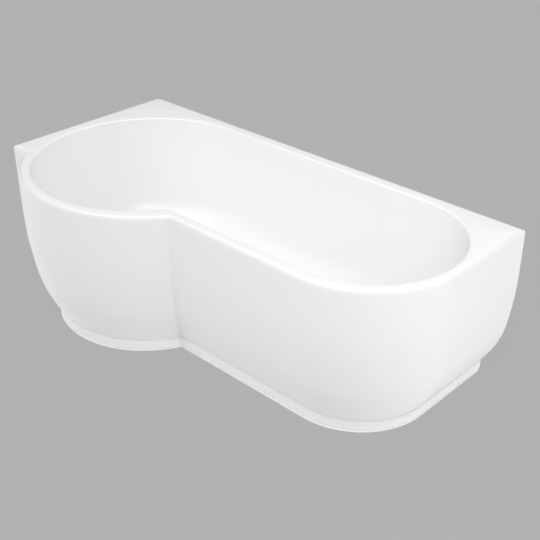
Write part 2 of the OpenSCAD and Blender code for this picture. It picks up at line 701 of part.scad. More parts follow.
function hose_heading(l) = hose_h0-hose_turn*min(1, max(0, (l-hose_run_1)/hose_run_2));
function hose_point(l) =
    let (a = min(l, hose_run_1), h = hose_heading(l), c = max(0, l-hose_run_1-hose_run_2))
    [hose_x0+a*cos(hose_h0)-hose_bend_r*(sin(h)-sin(hose_h0))-c, mid_y,
        hose_z0+a*sin(hose_h0)+hose_bend_r*(cos(h)-cos(hose_h0))];
function hose_ring(l, r) =
    let (p = hose_point(l), h = hose_heading(l))
    [for (i = [0:hose_sides-1]) let (a = (i+0.5)*360/hose_sides)
        p+r*[-sin(h)*cos(a), sin(a), cos(h)*cos(a)]];

module overflow_hose() color("gainsboro") {
    ribs = floor(hose_length/rib_pitch);
    p = hose_length/ribs;
    steps = floor(ribs/2);
    rings = concat([hose_ring(0, hose_valley_r)],
        [for (i = [0:ribs-1])
            each [hose_ring((i+rib_crest)*p, hose_crest_r), hose_ring((i+rib_valley)*p, hose_valley_r)]],
        [hose_ring(hose_length, hose_valley_r)],
        [for (i = [steps:-1:0]) hose_ring(hose_length*i/steps, hose_bore_r)]);
    m = len(rings);
    polyhedron(points = [for (r = rings) each r], convexity = 10,
        faces = [for (k = [0:m-1]) each band((k+1)%m, k, hose_sides, true)]);
}

clip_r = hose_crest_r+thread_gap;
clip_t = 1.2;
clip_w = 8;
clip_screw = 6;
module hose_clip(l) {
    color("silver") translate(hose_point(l)) rotate([0, 90-hose_heading(l), 0])
        translate([0, 0, -clip_w/2]) union() {
            ring(clip_r+clip_t, clip_r, clip_w);
            translate([-clip_w/2, clip_r+clip_t/2, 0]) cube([clip_w, clip_screw, clip_w]);
        }
}
clip_from_end = 12;
module hose_clip_upper() hose_clip(clip_from_end);
module hose_clip_lower() hose_clip(hose_length-clip_from_end);

// Wall brackets hook under the rim's lip
bracket_w = 60;
bracket_t = 2;
bracket_drop = 60;
bracket_hook = 12;
bracket_tab = 14;
bracket_hole_r = 2.75;
bracket_pitch = 36;
bracket_hole_drop = 36;
module wall_bracket(place, turn) color("lightslategray") translate(place) rotate([0, 0, turn])
    difference() {
        z = bath_height-lip_h;
        translate([-bracket_w/2, 0, 0]) rotate([90, 0, 90]) linear_extrude(bracket_w)
            polygon([[0, z], [0, z-bracket_drop], [-bracket_t, z-bracket_drop], [-bracket_t, z-bracket_t],
                [-bracket_hook, z-bracket_t], [-bracket_hook, z+bracket_tab],
                [bracket_t-bracket_hook, z+bracket_tab], [bracket_t-bracket_hook, z]]);
        for (s = [-1, 1]) translate([s*bracket_pitch/2, 1, z-bracket_hole_drop]) rotate([90, 0, 0])
            cylinder(r = bracket_hole_r, h = bracket_t+2);
    }
bracket_from_left = 700;
bracket_from_right = 600;
side_bracket_from_back = 392.5;
bracket_x = [left_x+bracket_from_left, right_x-bracket_from_right];
bracket_y = back_y-side_bracket_from_back;
module wall_bracket_back_left() wall_bracket([bracket_x[0], back_y, 0], 0);
module wall_bracket_back_right() wall_bracket([bracket_x[1], back_y, 0], 0);
module wall_bracket_side() wall_bracket([left_x, bracket_y, 0], 90);

// Boards that stiffen the wide corners of the rim from below
deck_board_t = 15;
deck_board_gap = 2;
deck_board_size = 245;
deck_board_clear = 22;
module deck_board(corner, side, centre, r) color("burlywood")
    translate([0, 0, deck_z-deck_board_t]) linear_extrude(deck_board_t) difference() {
        translate([side > 0 ? corner[0]-deck_board_size : corner[0], corner[1]-deck_board_size])
            square(deck_board_size);
        translate(centre) circle(r = r+deck_board_clear);
    }
module deck_board_left() deck_board([left_x+back_corner_r, back_y-back_corner_r], -1,
    [bowl_x, bowl_y], bowl_bow_r);
module deck_board_right()
    deck_board([right_x-rim_inset-skirt_t-deck_board_gap, back_y-skirt_t-deck_board_gap], 1,
        [round_x, mid_y], round_r);

// Cleats that hold the skirt's flange to the floor: [place on the plinth's inner face, turn]
cleat_w = 40;
cleat_t = 2;
cleat_h = 26;
cleat_foot = 22;
cleat_pitch = 24;
cleat_hole_y = 13.2;
cleat_seat = 1.5;    // room between a straight cleat and the curve of the bow behind it
cleat_from_right = 650;
cleat_from_back = 292.5;
cleat_places = [[[bow_x, sk_c(1)[1]-sk_r(1, -skirt_t)+cleat_seat], 0],
    [[right_x-cleat_from_right, sk_front(1, -skirt_t)], 0],
    [[sk_end(1, -skirt_t), back_y-cleat_from_back], 90]];
module at_cleat(p) {
    translate([p[0][0], p[0][1], flange_t]) rotate([0, 0, p[1]]) children();
}
module cleat_hole(p) {
    for (s = [-1, 1])
        at_cleat(p) translate([s*cleat_pitch/2, cleat_hole_y, -flange_t-1])
            cylinder(r = bracket_hole_r, h = flange_t+cleat_t+2);
}
module cleat(p) color("lightslategray") difference() {
    at_cleat(p) translate([-cleat_w/2, 0, 0]) rotate([90, 0, 90]) linear_extrude(cleat_w)
        polygon([[0, 0], [cleat_foot, 0], [cleat_foot, cleat_t],
            [cleat_t, cleat_t], [cleat_t, cleat_h], [0, cleat_h]]);
    cleat_hole(p);
}
module skirt_cleat_bow() cleat(cleat_places[0]);
module skirt_cleat_front() cleat(cleat_places[1]);
module skirt_cleat_end() cleat(cleat_places[2]);

tub_shell();
skirt_shell();
joint_seal();
base_board();
cradle_left();
cradle_middle();
cradle_right();
cradle_screws();
leg_nuts();
leg_rod(1);  // leg_rod_1
leg_rod(2);  // leg_rod_2
leg_rod(3);  // leg_rod_3
leg_rod(4);  // leg_rod_4
leg_rod(5);  // leg_rod_5
leg_rod(6);  // leg_rod_6
foot_pad(1);  // foot_pad_1
foot_pad(2);  // foot_pad_2
foot_pad(3);  // foot_pad_3
foot_pad(4);  // foot_pad_4
foot_pad(5);  // foot_pad_5
foot_pad(6);  // foot_pad_6
waste_flange();
waste_plug();
plug_seal();
waste_top_seal();
waste_under_seal();
waste_body();
trap_nut();
trap_washer();
trap_body();
trap_clean_out();
trap_outlet_nut();
overflow_plate();
overflow_knob();
overflow_front_seal();
overflow_rear_seal();
overflow_body();
overflow_hose();
hose_clip_upper();
hose_clip_lower();
wall_bracket_back_left();
wall_bracket_back_right();
wall_bracket_side();
deck_board_left();
deck_board_right();
skirt_cleat_bow();
skirt_cleat_front();
skirt_cleat_end();
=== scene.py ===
import json
import math

import bmesh
import bpy
from mathutils import Matrix, Vector


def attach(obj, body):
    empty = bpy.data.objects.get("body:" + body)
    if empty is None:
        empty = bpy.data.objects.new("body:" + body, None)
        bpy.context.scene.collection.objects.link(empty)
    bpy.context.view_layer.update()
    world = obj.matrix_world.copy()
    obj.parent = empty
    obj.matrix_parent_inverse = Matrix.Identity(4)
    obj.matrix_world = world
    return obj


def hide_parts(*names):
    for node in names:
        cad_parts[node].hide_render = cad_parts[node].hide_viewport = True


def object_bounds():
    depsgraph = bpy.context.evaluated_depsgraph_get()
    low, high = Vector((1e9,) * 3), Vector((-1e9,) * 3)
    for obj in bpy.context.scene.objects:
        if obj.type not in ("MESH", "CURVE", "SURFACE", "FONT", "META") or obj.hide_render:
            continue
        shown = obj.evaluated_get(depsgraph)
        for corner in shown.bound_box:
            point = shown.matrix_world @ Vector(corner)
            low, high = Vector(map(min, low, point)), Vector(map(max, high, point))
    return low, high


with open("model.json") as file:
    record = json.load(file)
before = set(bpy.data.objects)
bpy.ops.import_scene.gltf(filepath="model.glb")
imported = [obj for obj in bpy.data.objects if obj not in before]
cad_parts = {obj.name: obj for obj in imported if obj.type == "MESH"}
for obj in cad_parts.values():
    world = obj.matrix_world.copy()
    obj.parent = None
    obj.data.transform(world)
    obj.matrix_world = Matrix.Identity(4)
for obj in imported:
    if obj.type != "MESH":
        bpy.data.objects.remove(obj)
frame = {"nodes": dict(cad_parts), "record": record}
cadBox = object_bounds()
nodes = frame["nodes"]
bpy.ops.object.select_all(action="DESELECT")

# Camera and studio: a plain floor, wide soft glows all round and one softbox
shot = {
    "place": (2.0528, -1.9583, 1.9100),
    "pitch": 60.0,
    "turn": 43.44,
    "lens": 63.54,
    "sensor": 36.0,
}
studio = {
    "floorSize": 60.0,
    "floorTone": 0.411,
    "floorShade": 0.03,
    "backdropTone": 0.445,
    "glowFalloff": 4.0,
    # turn from +X and height above the floor in degrees, strength
    "glows": {
        "frontKey": (270.0, 50.0, 2.265),
        "backFill": (90.0, 50.0, 0.738),
        "endFill": (45.0, 50.0, 0.637),
        "endBounce": (0.0, -20.0, 0.807),
        "backBounce": (45.0, -20.0, 0.805),
        "leftBounce": (180.0, -20.0, 0.774),
        "bowBounce": (225.0, -20.0, 0.485),
        "underBack": (45.0, -60.0, 0.58),
        "underLeft": (135.0, -60.0, 0.558),
        "underFront": (315.0, -60.0, 0.402),
    },
    "softbox": {"place": (1.6, -1.2, 2.0), "aim": (0.0, 0.0, 0.45), "size": 1.2, "power": 14.0},
}
bpy.ops.object.camera_add(
    location=shot["place"], rotation=(math.radians(shot["pitch"]), 0, math.radians(shot["turn"]))
)
camera = bpy.context.object
camera.name = "studioCamera"
camera.data.lens = shot["lens"]
camera.data.sensor_width = shot["sensor"]
camera.data.clip_end = 100.0
bpy.context.scene.camera = camera
bpy.context.scene.view_settings.view_transform = "Standard"
print("camera placed")


def newGroup(name, inputs, outputs):
    group = bpy.data.node_groups.new(name, "ShaderNodeTree")
    for label, kind, value in inputs:
        socket = group.interface.new_socket(label, in_out="INPUT", socket_type=kind)
        if value is not None:
            socket.default_value = value
    for label, kind in outputs:
        group.interface.new_socket(label, in_out="OUTPUT", socket_type=kind)
    return group, group.nodes.new("NodeGroupInput"), group.nodes.new("NodeGroupOutput")


def wire(tree, *pairs):
    for start, end in pairs:
        tree.links.new(start, end)


def placeGroup(tree, group, **values):
    node = tree.nodes.new("ShaderNodeGroup")
    node.node_tree = group
    for label, value in values.items():
        node.inputs[label].default_value = value
    return node


def maths(tree, operation, first, second):
    node = tree.nodes.new("ShaderNodeMath")
    node.operation = operation
    for socket, value in zip(node.inputs, (first, second)):
        if isinstance(value, float):
            socket.default_value = value
        else:
            wire(tree, (value, socket))
    return node.outputs[0]


def makeGlow():
    group, source, result = newGroup(
        "softGlow",
        [
            ("Vector", "NodeSocketVector", None),
            ("Direction", "NodeSocketVector", (0, 0, 1)),
            ("Falloff", "NodeSocketFloat", 4.0),
            ("Strength", "NodeSocketFloat", 1.0),
        ],
        [("Value", "NodeSocketFloat")],
    )
    facing = group.nodes.new("ShaderNodeVectorMath")
    facing.operation = "DOT_PRODUCT"
    wire(group, (source.outputs["Vector"], facing.inputs[0]), (source.outputs["Direction"], facing.inputs[1]))
    front = maths(group, "MAXIMUM", facing.outputs["Value"], 0.0)
    spread = maths(group, "POWER", front, source.outputs["Falloff"])
    wire(group, (maths(group, "MULTIPLY", spread, source.outputs["Strength"]), result.inputs["Value"]))
    return group


softGlow = makeGlow()
surround = bpy.data.worlds.new("studioSurround")
surround.use_nodes = True
surroundTree = surround.node_tree
gaze = surroundTree.nodes.new("ShaderNodeTexCoord")
light = 0.0
for glowName, (turn, height, strength) in studio["glows"].items():
    turn, height = math.radians(turn), math.radians(height)
    direction = (math.cos(turn) * math.cos(height), math.sin(turn) * math.cos(height), math.sin(height))
    glow = placeGroup(surroundTree, softGlow, Direction=direction, Falloff=studio["glowFalloff"], Strength=strength)
    glow.name = glowName
    wire(surroundTree, (gaze.outputs["Generated"], glow.inputs["Vector"]))
    light = maths(surroundTree, "ADD", glow.outputs["Value"], light)
rays = surroundTree.nodes.new("ShaderNodeLightPath")
seen = surroundTree.nodes.new("ShaderNodeMix")
seen.inputs[3].default_value = studio["backdropTone"]
wire(
    surroundTree,
    (rays.outputs["Is Camera Ray"], seen.inputs["Factor"]), (light, seen.inputs[2]),
    (seen.outputs[0], surroundTree.nodes["Background"].inputs["Color"]),
)
bpy.context.scene.world = surround

box = studio["softbox"]
toward = Vector(box["place"]) - Vector(box["aim"])
bpy.ops.object.light_add(type="AREA", location=box["place"], rotation=toward.to_track_quat("Z", "Y").to_euler())
softbox = bpy.context.object
softbox.name = "studioSoftbox"
softbox.data.size = box["size"]
softbox.data.energy = box["power"]
softbox.visible_camera = False

# The floor is plain and pale. It lets the bounce from below reach the skirt
floorPaint = bpy.data.materials.new("paleFloor")
floorPaint.use_nodes = True
floorShader = floorPaint.node_tree.nodes["Principled BSDF"]
shade = studio["floorShade"]
floorShader.inputs["Base Color"].default_value = (shade, shade, shade, 1)
floorShader.inputs["Roughness"].default_value = 1.0
floorShader.inputs["Specular IOR Level"].default_value = 0.0
floorShader.inputs["Emission Color"].default_value = (1, 1, 1, 1)
floorShader.inputs["Emission Strength"].default_value = studio["floorTone"]
bpy.ops.mesh.primitive_plane_add(size=studio["floorSize"])
floor = bpy.context.object
floor.name = "studioFloor"
floor.data.materials.append(floorPaint)
floor.visible_diffuse = False
floor.visible_glossy = False
floor.visible_shadow = False
print("studio lit")


# Lays the second tone over the first where the value rises from Low to High
def layTones(group, source, result, value, first, second):
    spread = group.nodes.new("ShaderNodeMapRange")
    blend = group.nodes.new("ShaderNodeMix")
    blend.data_type = "RGBA"
    wire(
        group,
        (value, spread.inputs["Value"]),
        (source.outputs["Low"], spread.inputs["From Min"]), (source.outputs["High"], spread.inputs["From Max"]),
        (spread.outputs["Result"], blend.inputs["Factor"]),
        (source.outputs[first], blend.inputs[6]), (source.outputs[second], blend.inputs[7]),
        (blend.outputs[2], result.inputs["Color"]), (spread.outputs["Result"], result.inputs["Mask"]),
    )


# Effects that several finishes share
def makeMottle():
    group, source, result = newGroup(
        "mottle",
        [
            ("Vector", "NodeSocketVector", None),
            ("Scale", "NodeSocketFloat", 10.0),
            ("Detail", "NodeSocketFloat", 4.0),
            ("Low", "NodeSocketFloat", 0.35),
            ("High", "NodeSocketFloat", 0.65),
            ("Dark", "NodeSocketColor", (0.2, 0.2, 0.2, 1)),
            ("Light", "NodeSocketColor", (0.8, 0.8, 0.8, 1)),
        ],
        [("Color", "NodeSocketColor"), ("Mask", "NodeSocketFloat")],
    )
    noise = group.nodes.new("ShaderNodeTexNoise")
    wire(group, *((source.outputs[label], noise.inputs[label]) for label in ("Vector", "Scale", "Detail")))
    layTones(group, source, result, noise.outputs["Fac"], "Dark", "Light")
    return group


def makeRubbedEdge():
    group, source, result = newGroup(
        "rubbedEdge",
        [
            ("Low", "NodeSocketFloat", 0.52),
            ("High", "NodeSocketFloat", 0.62),
            ("Plain", "NodeSocketColor", (0.5, 0.5, 0.5, 1)),
            ("Rubbed", "NodeSocketColor", (0.8, 0.8, 0.8, 1)),
        ],
        [("Color", "NodeSocketColor"), ("Mask", "NodeSocketFloat")],
    )
    shape = group.nodes.new("ShaderNodeNewGeometry")
    layTones(group, source, result, shape.outputs["Pointiness"], "Plain", "Rubbed")
    return group


def makeFineGrain():
    group, source, result = newGroup(
        "fineGrain",
        [
            ("Vector", "NodeSocketVector", None),
            ("Scale", "NodeSocketFloat", 200.0),
            ("Coarse Scale", "NodeSocketFloat", 20.0),
            ("Coarse Share", "NodeSocketFloat", 0.3),
        ],
        [("Height", "NodeSocketFloat")],
    )
    blend = group.nodes.new("ShaderNodeMix")
    for scale, detail, socket in (("Scale", 3.0, 2), ("Coarse Scale", 2.0, 3)):
        noise = group.nodes.new("ShaderNodeTexNoise")
        noise.inputs["Detail"].default_value = detail
        wire(
            group,
            (source.outputs["Vector"], noise.inputs["Vector"]), (source.outputs[scale], noise.inputs["Scale"]),
            (noise.outputs["Fac"], blend.inputs[socket]),
        )
    wire(group, (source.outputs["Coarse Share"], blend.inputs["Factor"]), (blend.outputs[0], result.inputs["Height"]))
    return group


mottle = makeMottle()
rubbedEdge = makeRubbedEdge()
fineGrain = makeFineGrain()


# One finish: two close tones laid by the mottle, uneven gloss and a fine relief
def makeFinish(name, facts):
    material = bpy.data.materials.new(name)
    material.use_nodes = True
    tree = material.node_tree
    shader = tree.nodes["Principled BSDF"]
    for label, value in facts.get("shader", {}).items():
        shader.inputs[label].default_value = value
    place = tree.nodes.new("ShaderNodeTexCoord").outputs["Object"]
    tones = placeGroup(tree, mottle, Scale=facts["toneScale"], Detail=facts.get("toneDetail", 4.0),
                       Low=facts.get("toneLow", 0.35), High=facts.get("toneHigh", 0.65),
                       Dark=(*facts["dark"], 1), Light=(*facts["light"], 1))
    colour = tones.outputs["Color"]
    if "rubbed" in facts:
        worn = placeGroup(tree, rubbedEdge, Rubbed=(*facts["rubbed"], 1))
        wire(tree, (colour, worn.inputs["Plain"]))
        colour = worn.outputs["Color"]
    gloss = tree.nodes.new("ShaderNodeMapRange")
    gloss.inputs["To Min"].default_value = facts["roughLow"]
    gloss.inputs["To Max"].default_value = facts["roughHigh"]
    grain = placeGroup(tree, fineGrain, **{
        "Scale": facts["grainScale"],
        "Coarse Scale": facts.get("coarseScale", facts["grainScale"] / 12),
        "Coarse Share": facts.get("coarseShare", 0.3),
    })
    relief = tree.nodes.new("ShaderNodeBump")
    relief.inputs["Strength"].default_value = facts.get("reliefStrength", 0.3)
    relief.inputs["Distance"].default_value = facts["relief"]
    wire(
        tree,
        (place, tones.inputs["Vector"]), (place, grain.inputs["Vector"]), (colour, shader.inputs["Base Color"]),
        (tones.outputs["Mask"], gloss.inputs["Value"]), (gloss.outputs["Result"], shader.inputs["Roughness"]),
        (grain.outputs["Height"], relief.inputs["Height"]), (relief.outputs["Normal"], shader.inputs["Normal"]),
    )
    return material


finishFacts = {
    "whiteAcrylic": {
        "shader": {"IOR": 1.49, "Coat Weight": 0.25, "Coat Roughness": 0.12},
        "toneScale": 2.0, "toneDetail": 1.0, "toneLow": 0.0, "toneHigh": 1.0,
        "dark": (0.87, 0.87, 0.87), "light": (0.88, 0.88, 0.88), "roughLow": 0.29, "roughHigh": 0.34,
        "grainScale": 60.0, "coarseScale": 14.0, "coarseShare": 0.6, "relief": 0.0001, "reliefStrength": 0.1,
    },
    "glassFibreBack": {
        "shader": {"IOR": 1.5},
        "toneScale": 70.0, "toneDetail": 10.0, "toneLow": 0.25, "toneHigh": 0.75,
        "dark": (0.56, 0.57, 0.53), "light": (0.72, 0.73, 0.69), "roughLow": 0.32, "roughHigh": 0.55,
        "grainScale": 220.0, "coarseScale": 45.0, "coarseShare": 0.5, "relief": 0.002, "reliefStrength": 0.6,
    },
    "paleSealant": {
        "toneScale": 30.0, "dark": (0.68, 0.68, 0.68), "light": (0.74, 0.74, 0.74),
        "roughLow": 0.45, "roughHigh": 0.6, "grainScale": 150.0, "relief": 0.0004,
    },
    "resinCoatedBoard": {
        "toneScale": 120.0, "toneDetail": 6.0, "dark": (0.3, 0.21, 0.13), "light": (0.56, 0.43, 0.28),
        "roughLow": 0.4, "roughHigh": 0.7, "rubbed": (0.6, 0.5, 0.36),
        "grainScale": 260.0, "coarseScale": 60.0, "coarseShare": 0.5, "relief": 0.001, "reliefStrength": 0.5,
    },
    "galvanisedSteel": {
        "shader": {"Metallic": 0.9},
        "toneScale": 60.0, "toneDetail": 2.0, "dark": (0.42, 0.44, 0.46), "light": (0.62, 0.64, 0.66),
        "roughLow": 0.3, "roughHigh": 0.5, "rubbed": (0.72, 0.73, 0.74),
        "grainScale": 300.0, "relief": 0.0002,
    },
    "zincPlate": {
        "shader": {"Metallic": 1.0},
        "toneScale": 150.0, "dark": (0.58, 0.58, 0.56), "light": (0.74, 0.74, 0.72),
        "roughLow": 0.3, "roughHigh": 0.42, "rubbed": (0.82, 0.82, 0.8),
        "grainScale": 500.0, "relief": 0.0001,
    },
    "polishedChrome": {
        "shader": {"Metallic": 1.0},
        "toneScale": 25.0, "dark": (0.78, 0.79, 0.8), "light": (0.84, 0.85, 0.86),
        "roughLow": 0.05, "roughHigh": 0.1, "grainScale": 80.0, "relief": 0.00005, "reliefStrength": 0.1,
    },
    "blackPlastic": {
        "shader": {"IOR": 1.5},
        "toneScale": 90.0, "dark": (0.018, 0.018, 0.02), "light": (0.035, 0.035, 0.038),
        "roughLow": 0.4, "roughHigh": 0.55, "rubbed": (0.08, 0.08, 0.085),
        "grainScale": 900.0, "relief": 0.0003,
    },
    "whitePlastic": {
        "shader": {"IOR": 1.5, "Subsurface Weight": 0.05},
        "toneScale": 40.0, "dark": (0.72, 0.73, 0.73), "light": (0.8, 0.81, 0.81),
        "roughLow": 0.32, "roughHigh": 0.42, "grainScale": 600.0, "relief": 0.0002,
    },
    "greyHosePlastic": {
        "shader": {"IOR": 1.5},
        "toneScale": 50.0, "dark": (0.5, 0.51, 0.52), "light": (0.6, 0.61, 0.62),
        "roughLow": 0.35, "roughHigh": 0.48, "grainScale": 500.0, "relief": 0.0002,
    },
    "sealingRubber": {
        "toneScale": 80.0, "dark": (0.012, 0.012, 0.012), "light": (0.03, 0.03, 0.03),
        "roughLow": 0.6, "roughHigh": 0.75, "grainScale": 700.0, "relief": 0.0004,
    },
}
finishes = {name: makeFinish(name, facts) for name, facts in finishFacts.items()}
print("finishes mixed:", len(finishes))


# Modelling helpers
def deselect():
    if bpy.context.object and bpy.context.object.mode != "OBJECT":
        bpy.ops.object.mode_set(mode="OBJECT")
    bpy.ops.object.select_all(action="DESELECT")


def pick(piece):
    deselect()
    piece.select_set(True)
    bpy.context.view_layer.objects.active = piece


def applyAll(piece):
    pick(piece)
    for modifier in list(piece.modifiers):
        bpy.ops.object.modifier_apply(modifier=modifier.name)


# Closes the hairline cracks that a cut can leave
def mendMesh(piece, gap=1e-6):
    pick(piece)
    bpy.ops.object.mode_set(mode="EDIT")
    bpy.ops.mesh.select_all(action="SELECT")
    bpy.ops.mesh.remove_doubles(threshold=gap)
    bpy.ops.object.mode_set(mode="OBJECT")


def smooth(piece, degrees=35):
    mendMesh(piece)
    bpy.ops.object.shade_smooth_by_angle(angle=math.radians(degrees))


def settle(piece, body, slot, finish, *replaced):
    if finish:
        piece.data.materials.clear()
        piece.data.materials.append(finishes[finish])
    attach(piece, body)
    if replaced:
        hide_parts(*replaced)
    deselect()


def bevelEdges(piece, width, degrees):
    bevel = piece.modifiers.new("softEdges", "BEVEL")
    bevel.width = width * mm
    bevel.segments = 2
    bevel.limit_method = "ANGLE"
    bevel.angle_limit = math.radians(degrees)


def cut(piece, tool, how="DIFFERENCE"):
    boolean = piece.modifiers.new("cut", "BOOLEAN")
    boolean.operation = how
    boolean.solver = "EXACT"
    boolean.object = tool
    applyAll(piece)
    bpy.data.objects.remove(tool)


# A circle in edit mode, numbered so that an extruded copy keeps the numbers
def startLine(name, count):
    deselect()
    bpy.ops.mesh.primitive_circle_add(vertices=count, radius=1)
    piece = bpy.context.object
    piece.name = name
    piece.data.name = name
    piece.data.attributes.new("station", "INT", "POINT").data.foreach_set("value", list(range(count)))
    bpy.ops.object.mode_set(mode="EDIT")
    bpy.ops.mesh.select_all(action="SELECT")
    return piece


def moveLine(piece, points):
    mesh = bmesh.from_edit_mesh(piece.data)
    station = mesh.verts.layers.int["station"]
    for v in mesh.verts:
        if v.select:
            v.co = points[v[station]]
    bmesh.update_edit_mesh(piece.data)


# Selects the open edges whose numbers pass the test, and nothing else
def selectOpen(piece, wanted=lambda numbers: True):
    bpy.ops.mesh.select_all(action="DESELECT")
    mesh = bmesh.from_edit_mesh(piece.data)
    station = mesh.verts.layers.int["station"]
    for edge in mesh.edges:
        if len(edge.link_faces) < 2 and wanted({v[station] for v in edge.verts}):
            edge.select_set(True)
    bmesh.update_edit_mesh(piece.data)


# Extrudes a line through all its places. Faces made after the place numbered `back` get material 1
def drawThrough(name, lines, closed=True, back=None):
    last = len(lines[0]) - 1
    piece = startLine(name, last + 1)
    if not closed:
        selectOpen(piece, lambda numbers: numbers == {0, last})
        bpy.ops.mesh.delete(type="EDGE")
        bpy.ops.mesh.select_all(action="SELECT")
    moveLine(piece, lines[0])
    for number, line in enumerate(lines[1:], 1):
        bpy.ops.mesh.extrude_edges_move()
        moveLine(piece, line)
        if back is not None and number > back:
            mesh = bmesh.from_edit_mesh(piece.data)
            for v in mesh.verts:
                if v.select:
                    for face in v.link_faces:
                        face.material_index = 1
            bmesh.update_edit_mesh(piece.data)
    return piece


# Turns the faces outwards and leaves edit mode
def endSolid():
    bpy.ops.mesh.select_all(action="SELECT")
    bpy.ops.mesh.normals_make_consistent(inside=False)
    bpy.ops.object.mode_set(mode="OBJECT")


# Joins the first and the last line of an open band and closes its two ends
def closeBand(piece, last):
    selectOpen(piece, lambda numbers: numbers != {0} and numbers != {last})
    bpy.ops.mesh.bridge_edge_loops()
    for end in (0, last):
        selectOpen(piece, lambda numbers: numbers == {end})
        bpy.ops.mesh.edge_face_add()
    endSolid()


# Turned, pulled and bent pieces, drilled and cut. All their sizes are in millimetres
mm = 0.001


# Several values of a dictionary at once
def sizes(facts, labels):
    return [facts[label] for label in labels.split()]


def at(x, y, z):
    return Matrix.Translation((x * mm, y * mm, z * mm))


def turnAbout(axis, degrees):
    return Matrix.Rotation(math.radians(degrees), 4, axis)


def seat(piece, place):
    pick(piece)
    piece.matrix_world = place
    bpy.ops.object.transform_apply(location=True, rotation=True, scale=True)
    return piece


def closedLine(name, points):
    piece = startLine(name, len(points))
    moveLine(piece, [Vector(point) * mm for point in points])
    return piece


# Spins a closed profile of (radius, height) about the axis
def turned(name, profile, place=Matrix(), steps=64):
    piece = closedLine(name, [(r, 0, z) for r, z in profile])
    bpy.ops.mesh.spin(steps=steps, angle=math.tau, center=(0, 0, 0), axis=(0, 0, 1))
    bpy.ops.mesh.select_all(action="SELECT")
    bpy.ops.mesh.remove_doubles(threshold=1e-6)
    bpy.ops.mesh.select_all(action="SELECT")
    bpy.ops.mesh.delete_loose(use_verts=True, use_edges=True, use_faces=False)
    endSolid()
    return seat(piece, place)


# Pulls a closed outline of (x, y) up
def pulled(name, outline, height, place=Matrix()):
    piece = closedLine(name, [(x, y, 0) for x, y in outline])
    bpy.ops.mesh.edge_face_add()
    bpy.ops.mesh.extrude_region_move(TRANSFORM_OT_translate={"value": (0, 0, height * mm)})
    endSolid()
    return seat(piece, place)


def joined(name, pieces):
    deselect()
    for piece in pieces:
        piece.select_set(True)
    bpy.context.view_layer.objects.active = pieces[0]
    if len(pieces) > 1:
        bpy.ops.object.join()
    pieces[0].name = name
    return pieces[0]


def copied(piece, name, place):
    pick(piece)
    bpy.ops.object.duplicate()
    other = bpy.context.object
    other.name = name
    other.data.name = name
    return seat(other, place)


def repeated(piece, name, places):
    copies = [copied(piece, name, place) for place in places]
    bpy.data.objects.remove(piece)
    return joined(name, copies)


def drill(piece, places, radius, length, sides=32):
    made = []
    for place in places:
        deselect()
        bpy.ops.mesh.primitive_cylinder_add(vertices=sides, radius=radius * mm, depth=length * mm)
        made.append(seat(bpy.context.object, place))
    cut(piece, joined("drill", made))


def washer(name, outer, inner, low, high, place=Matrix(), soft=0.3, steps=64):
    return turned(name, [
        (inner, low), (outer - soft, low), (outer, low + soft), (outer, high - soft), (outer - soft, high),
        (inner, high)
    ], place, steps)


# A frame whose X and Y point along the given directions
def axes(x, y):
    x, y = Vector(x).normalized(), Vector(y).normalized()
    return Matrix((x, y, x.cross(y))).transposed().to_4x4()


# A sheet's bent section: a middle line with rounded bends, thickened to both sides
def sheetSection(corners, thickness, bend, count=5):
    line = [Vector(corners[0])]
    for before, corner, after in zip(corners, corners[1:], corners[2:]):
        corner = Vector(corner)
        a = (Vector(before) - corner).normalized()
        b = (Vector(after) - corner).normalized()
        half = a.angle(b) / 2
        reach = bend / math.tan(half)
        centre = corner + (a + b).normalized() * (bend / math.sin(half))
        start, end = corner + a * reach - centre, corner + b * reach - centre
        sweep = math.atan2(start.x * end.y - start.y * end.x, start.dot(end))
        for i in range(count + 1):
            turn = sweep * i / count
            line.append(centre + Vector((start.x * math.cos(turn) - start.y * math.sin(turn),
                                         start.x * math.sin(turn) + start.y * math.cos(turn))))
    line.append(Vector(corners[-1]))
    left, right = [], []
    for i, point in enumerate(line):
        along = (line[min(i + 1, len(line) - 1)] - line[max(i - 1, 0)]).normalized()
        across = Vector((-along.y, along.x)) * thickness / 2
        left.append(tuple(point + across))
        right.append(tuple(point - across))
    return left + right[::-1]


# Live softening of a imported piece: its shape stays, its edges catch the light
def soften(node, width, degrees=35):
    weld = node.modifiers.new("joinCorners", "WELD")
    weld.merge_threshold = 1e-6
    flat = node.modifiers.new("clearFlats", "DECIMATE")
    flat.decimate_type = "DISSOLVE"
    flat.angle_limit = math.radians(1)
    bevelEdges(node, width, degrees)


# A ribbed grip round a nut: crests and valleys between two radii
def ribbed(outer, inner, ribs):
    outline = []
    for i in range(ribs):
        for share, radius in ((0, outer), (0.4, outer), (0.55, inner), (0.85, inner)):
            a = math.tau * (i + share - 0.2) / ribs
            outline.append((radius * math.cos(a), radius * math.sin(a)))
    return outline


def regular(radius, sides):
    return [(radius * math.cos(math.tau * i / sides), radius * math.sin(math.tau * i / sides)) for i in range(sides)]


def chamferEnds(piece, radius, low, high, step, place):
    cut(piece, turned("chamfer", [
        (0, low), (radius - step, low), (radius + 0.2, low + step * 0.6), (radius + 0.2, high - step * 0.6),
        (radius - step, high), (0, high)
    ], place), "INTERSECT")


finishOfSlot = {
    "acrylic": "whiteAcrylic",
    "sealant": "paleSealant",
    "board": "resinCoatedBoard",
    "galvanised": "galvanisedSteel",
    "zinc": "zincPlate",
    "foot_plastic": "blackPlastic",
    "white_plastic": "whitePlastic",
    "hose_plastic": "greyHosePlastic",
    "chrome": "polishedChrome",
    "rubber": "sealingRubber",
}
slotOfNode = {part["node"]: part["material_slot"] for part in frame["record"]["subparts"]}


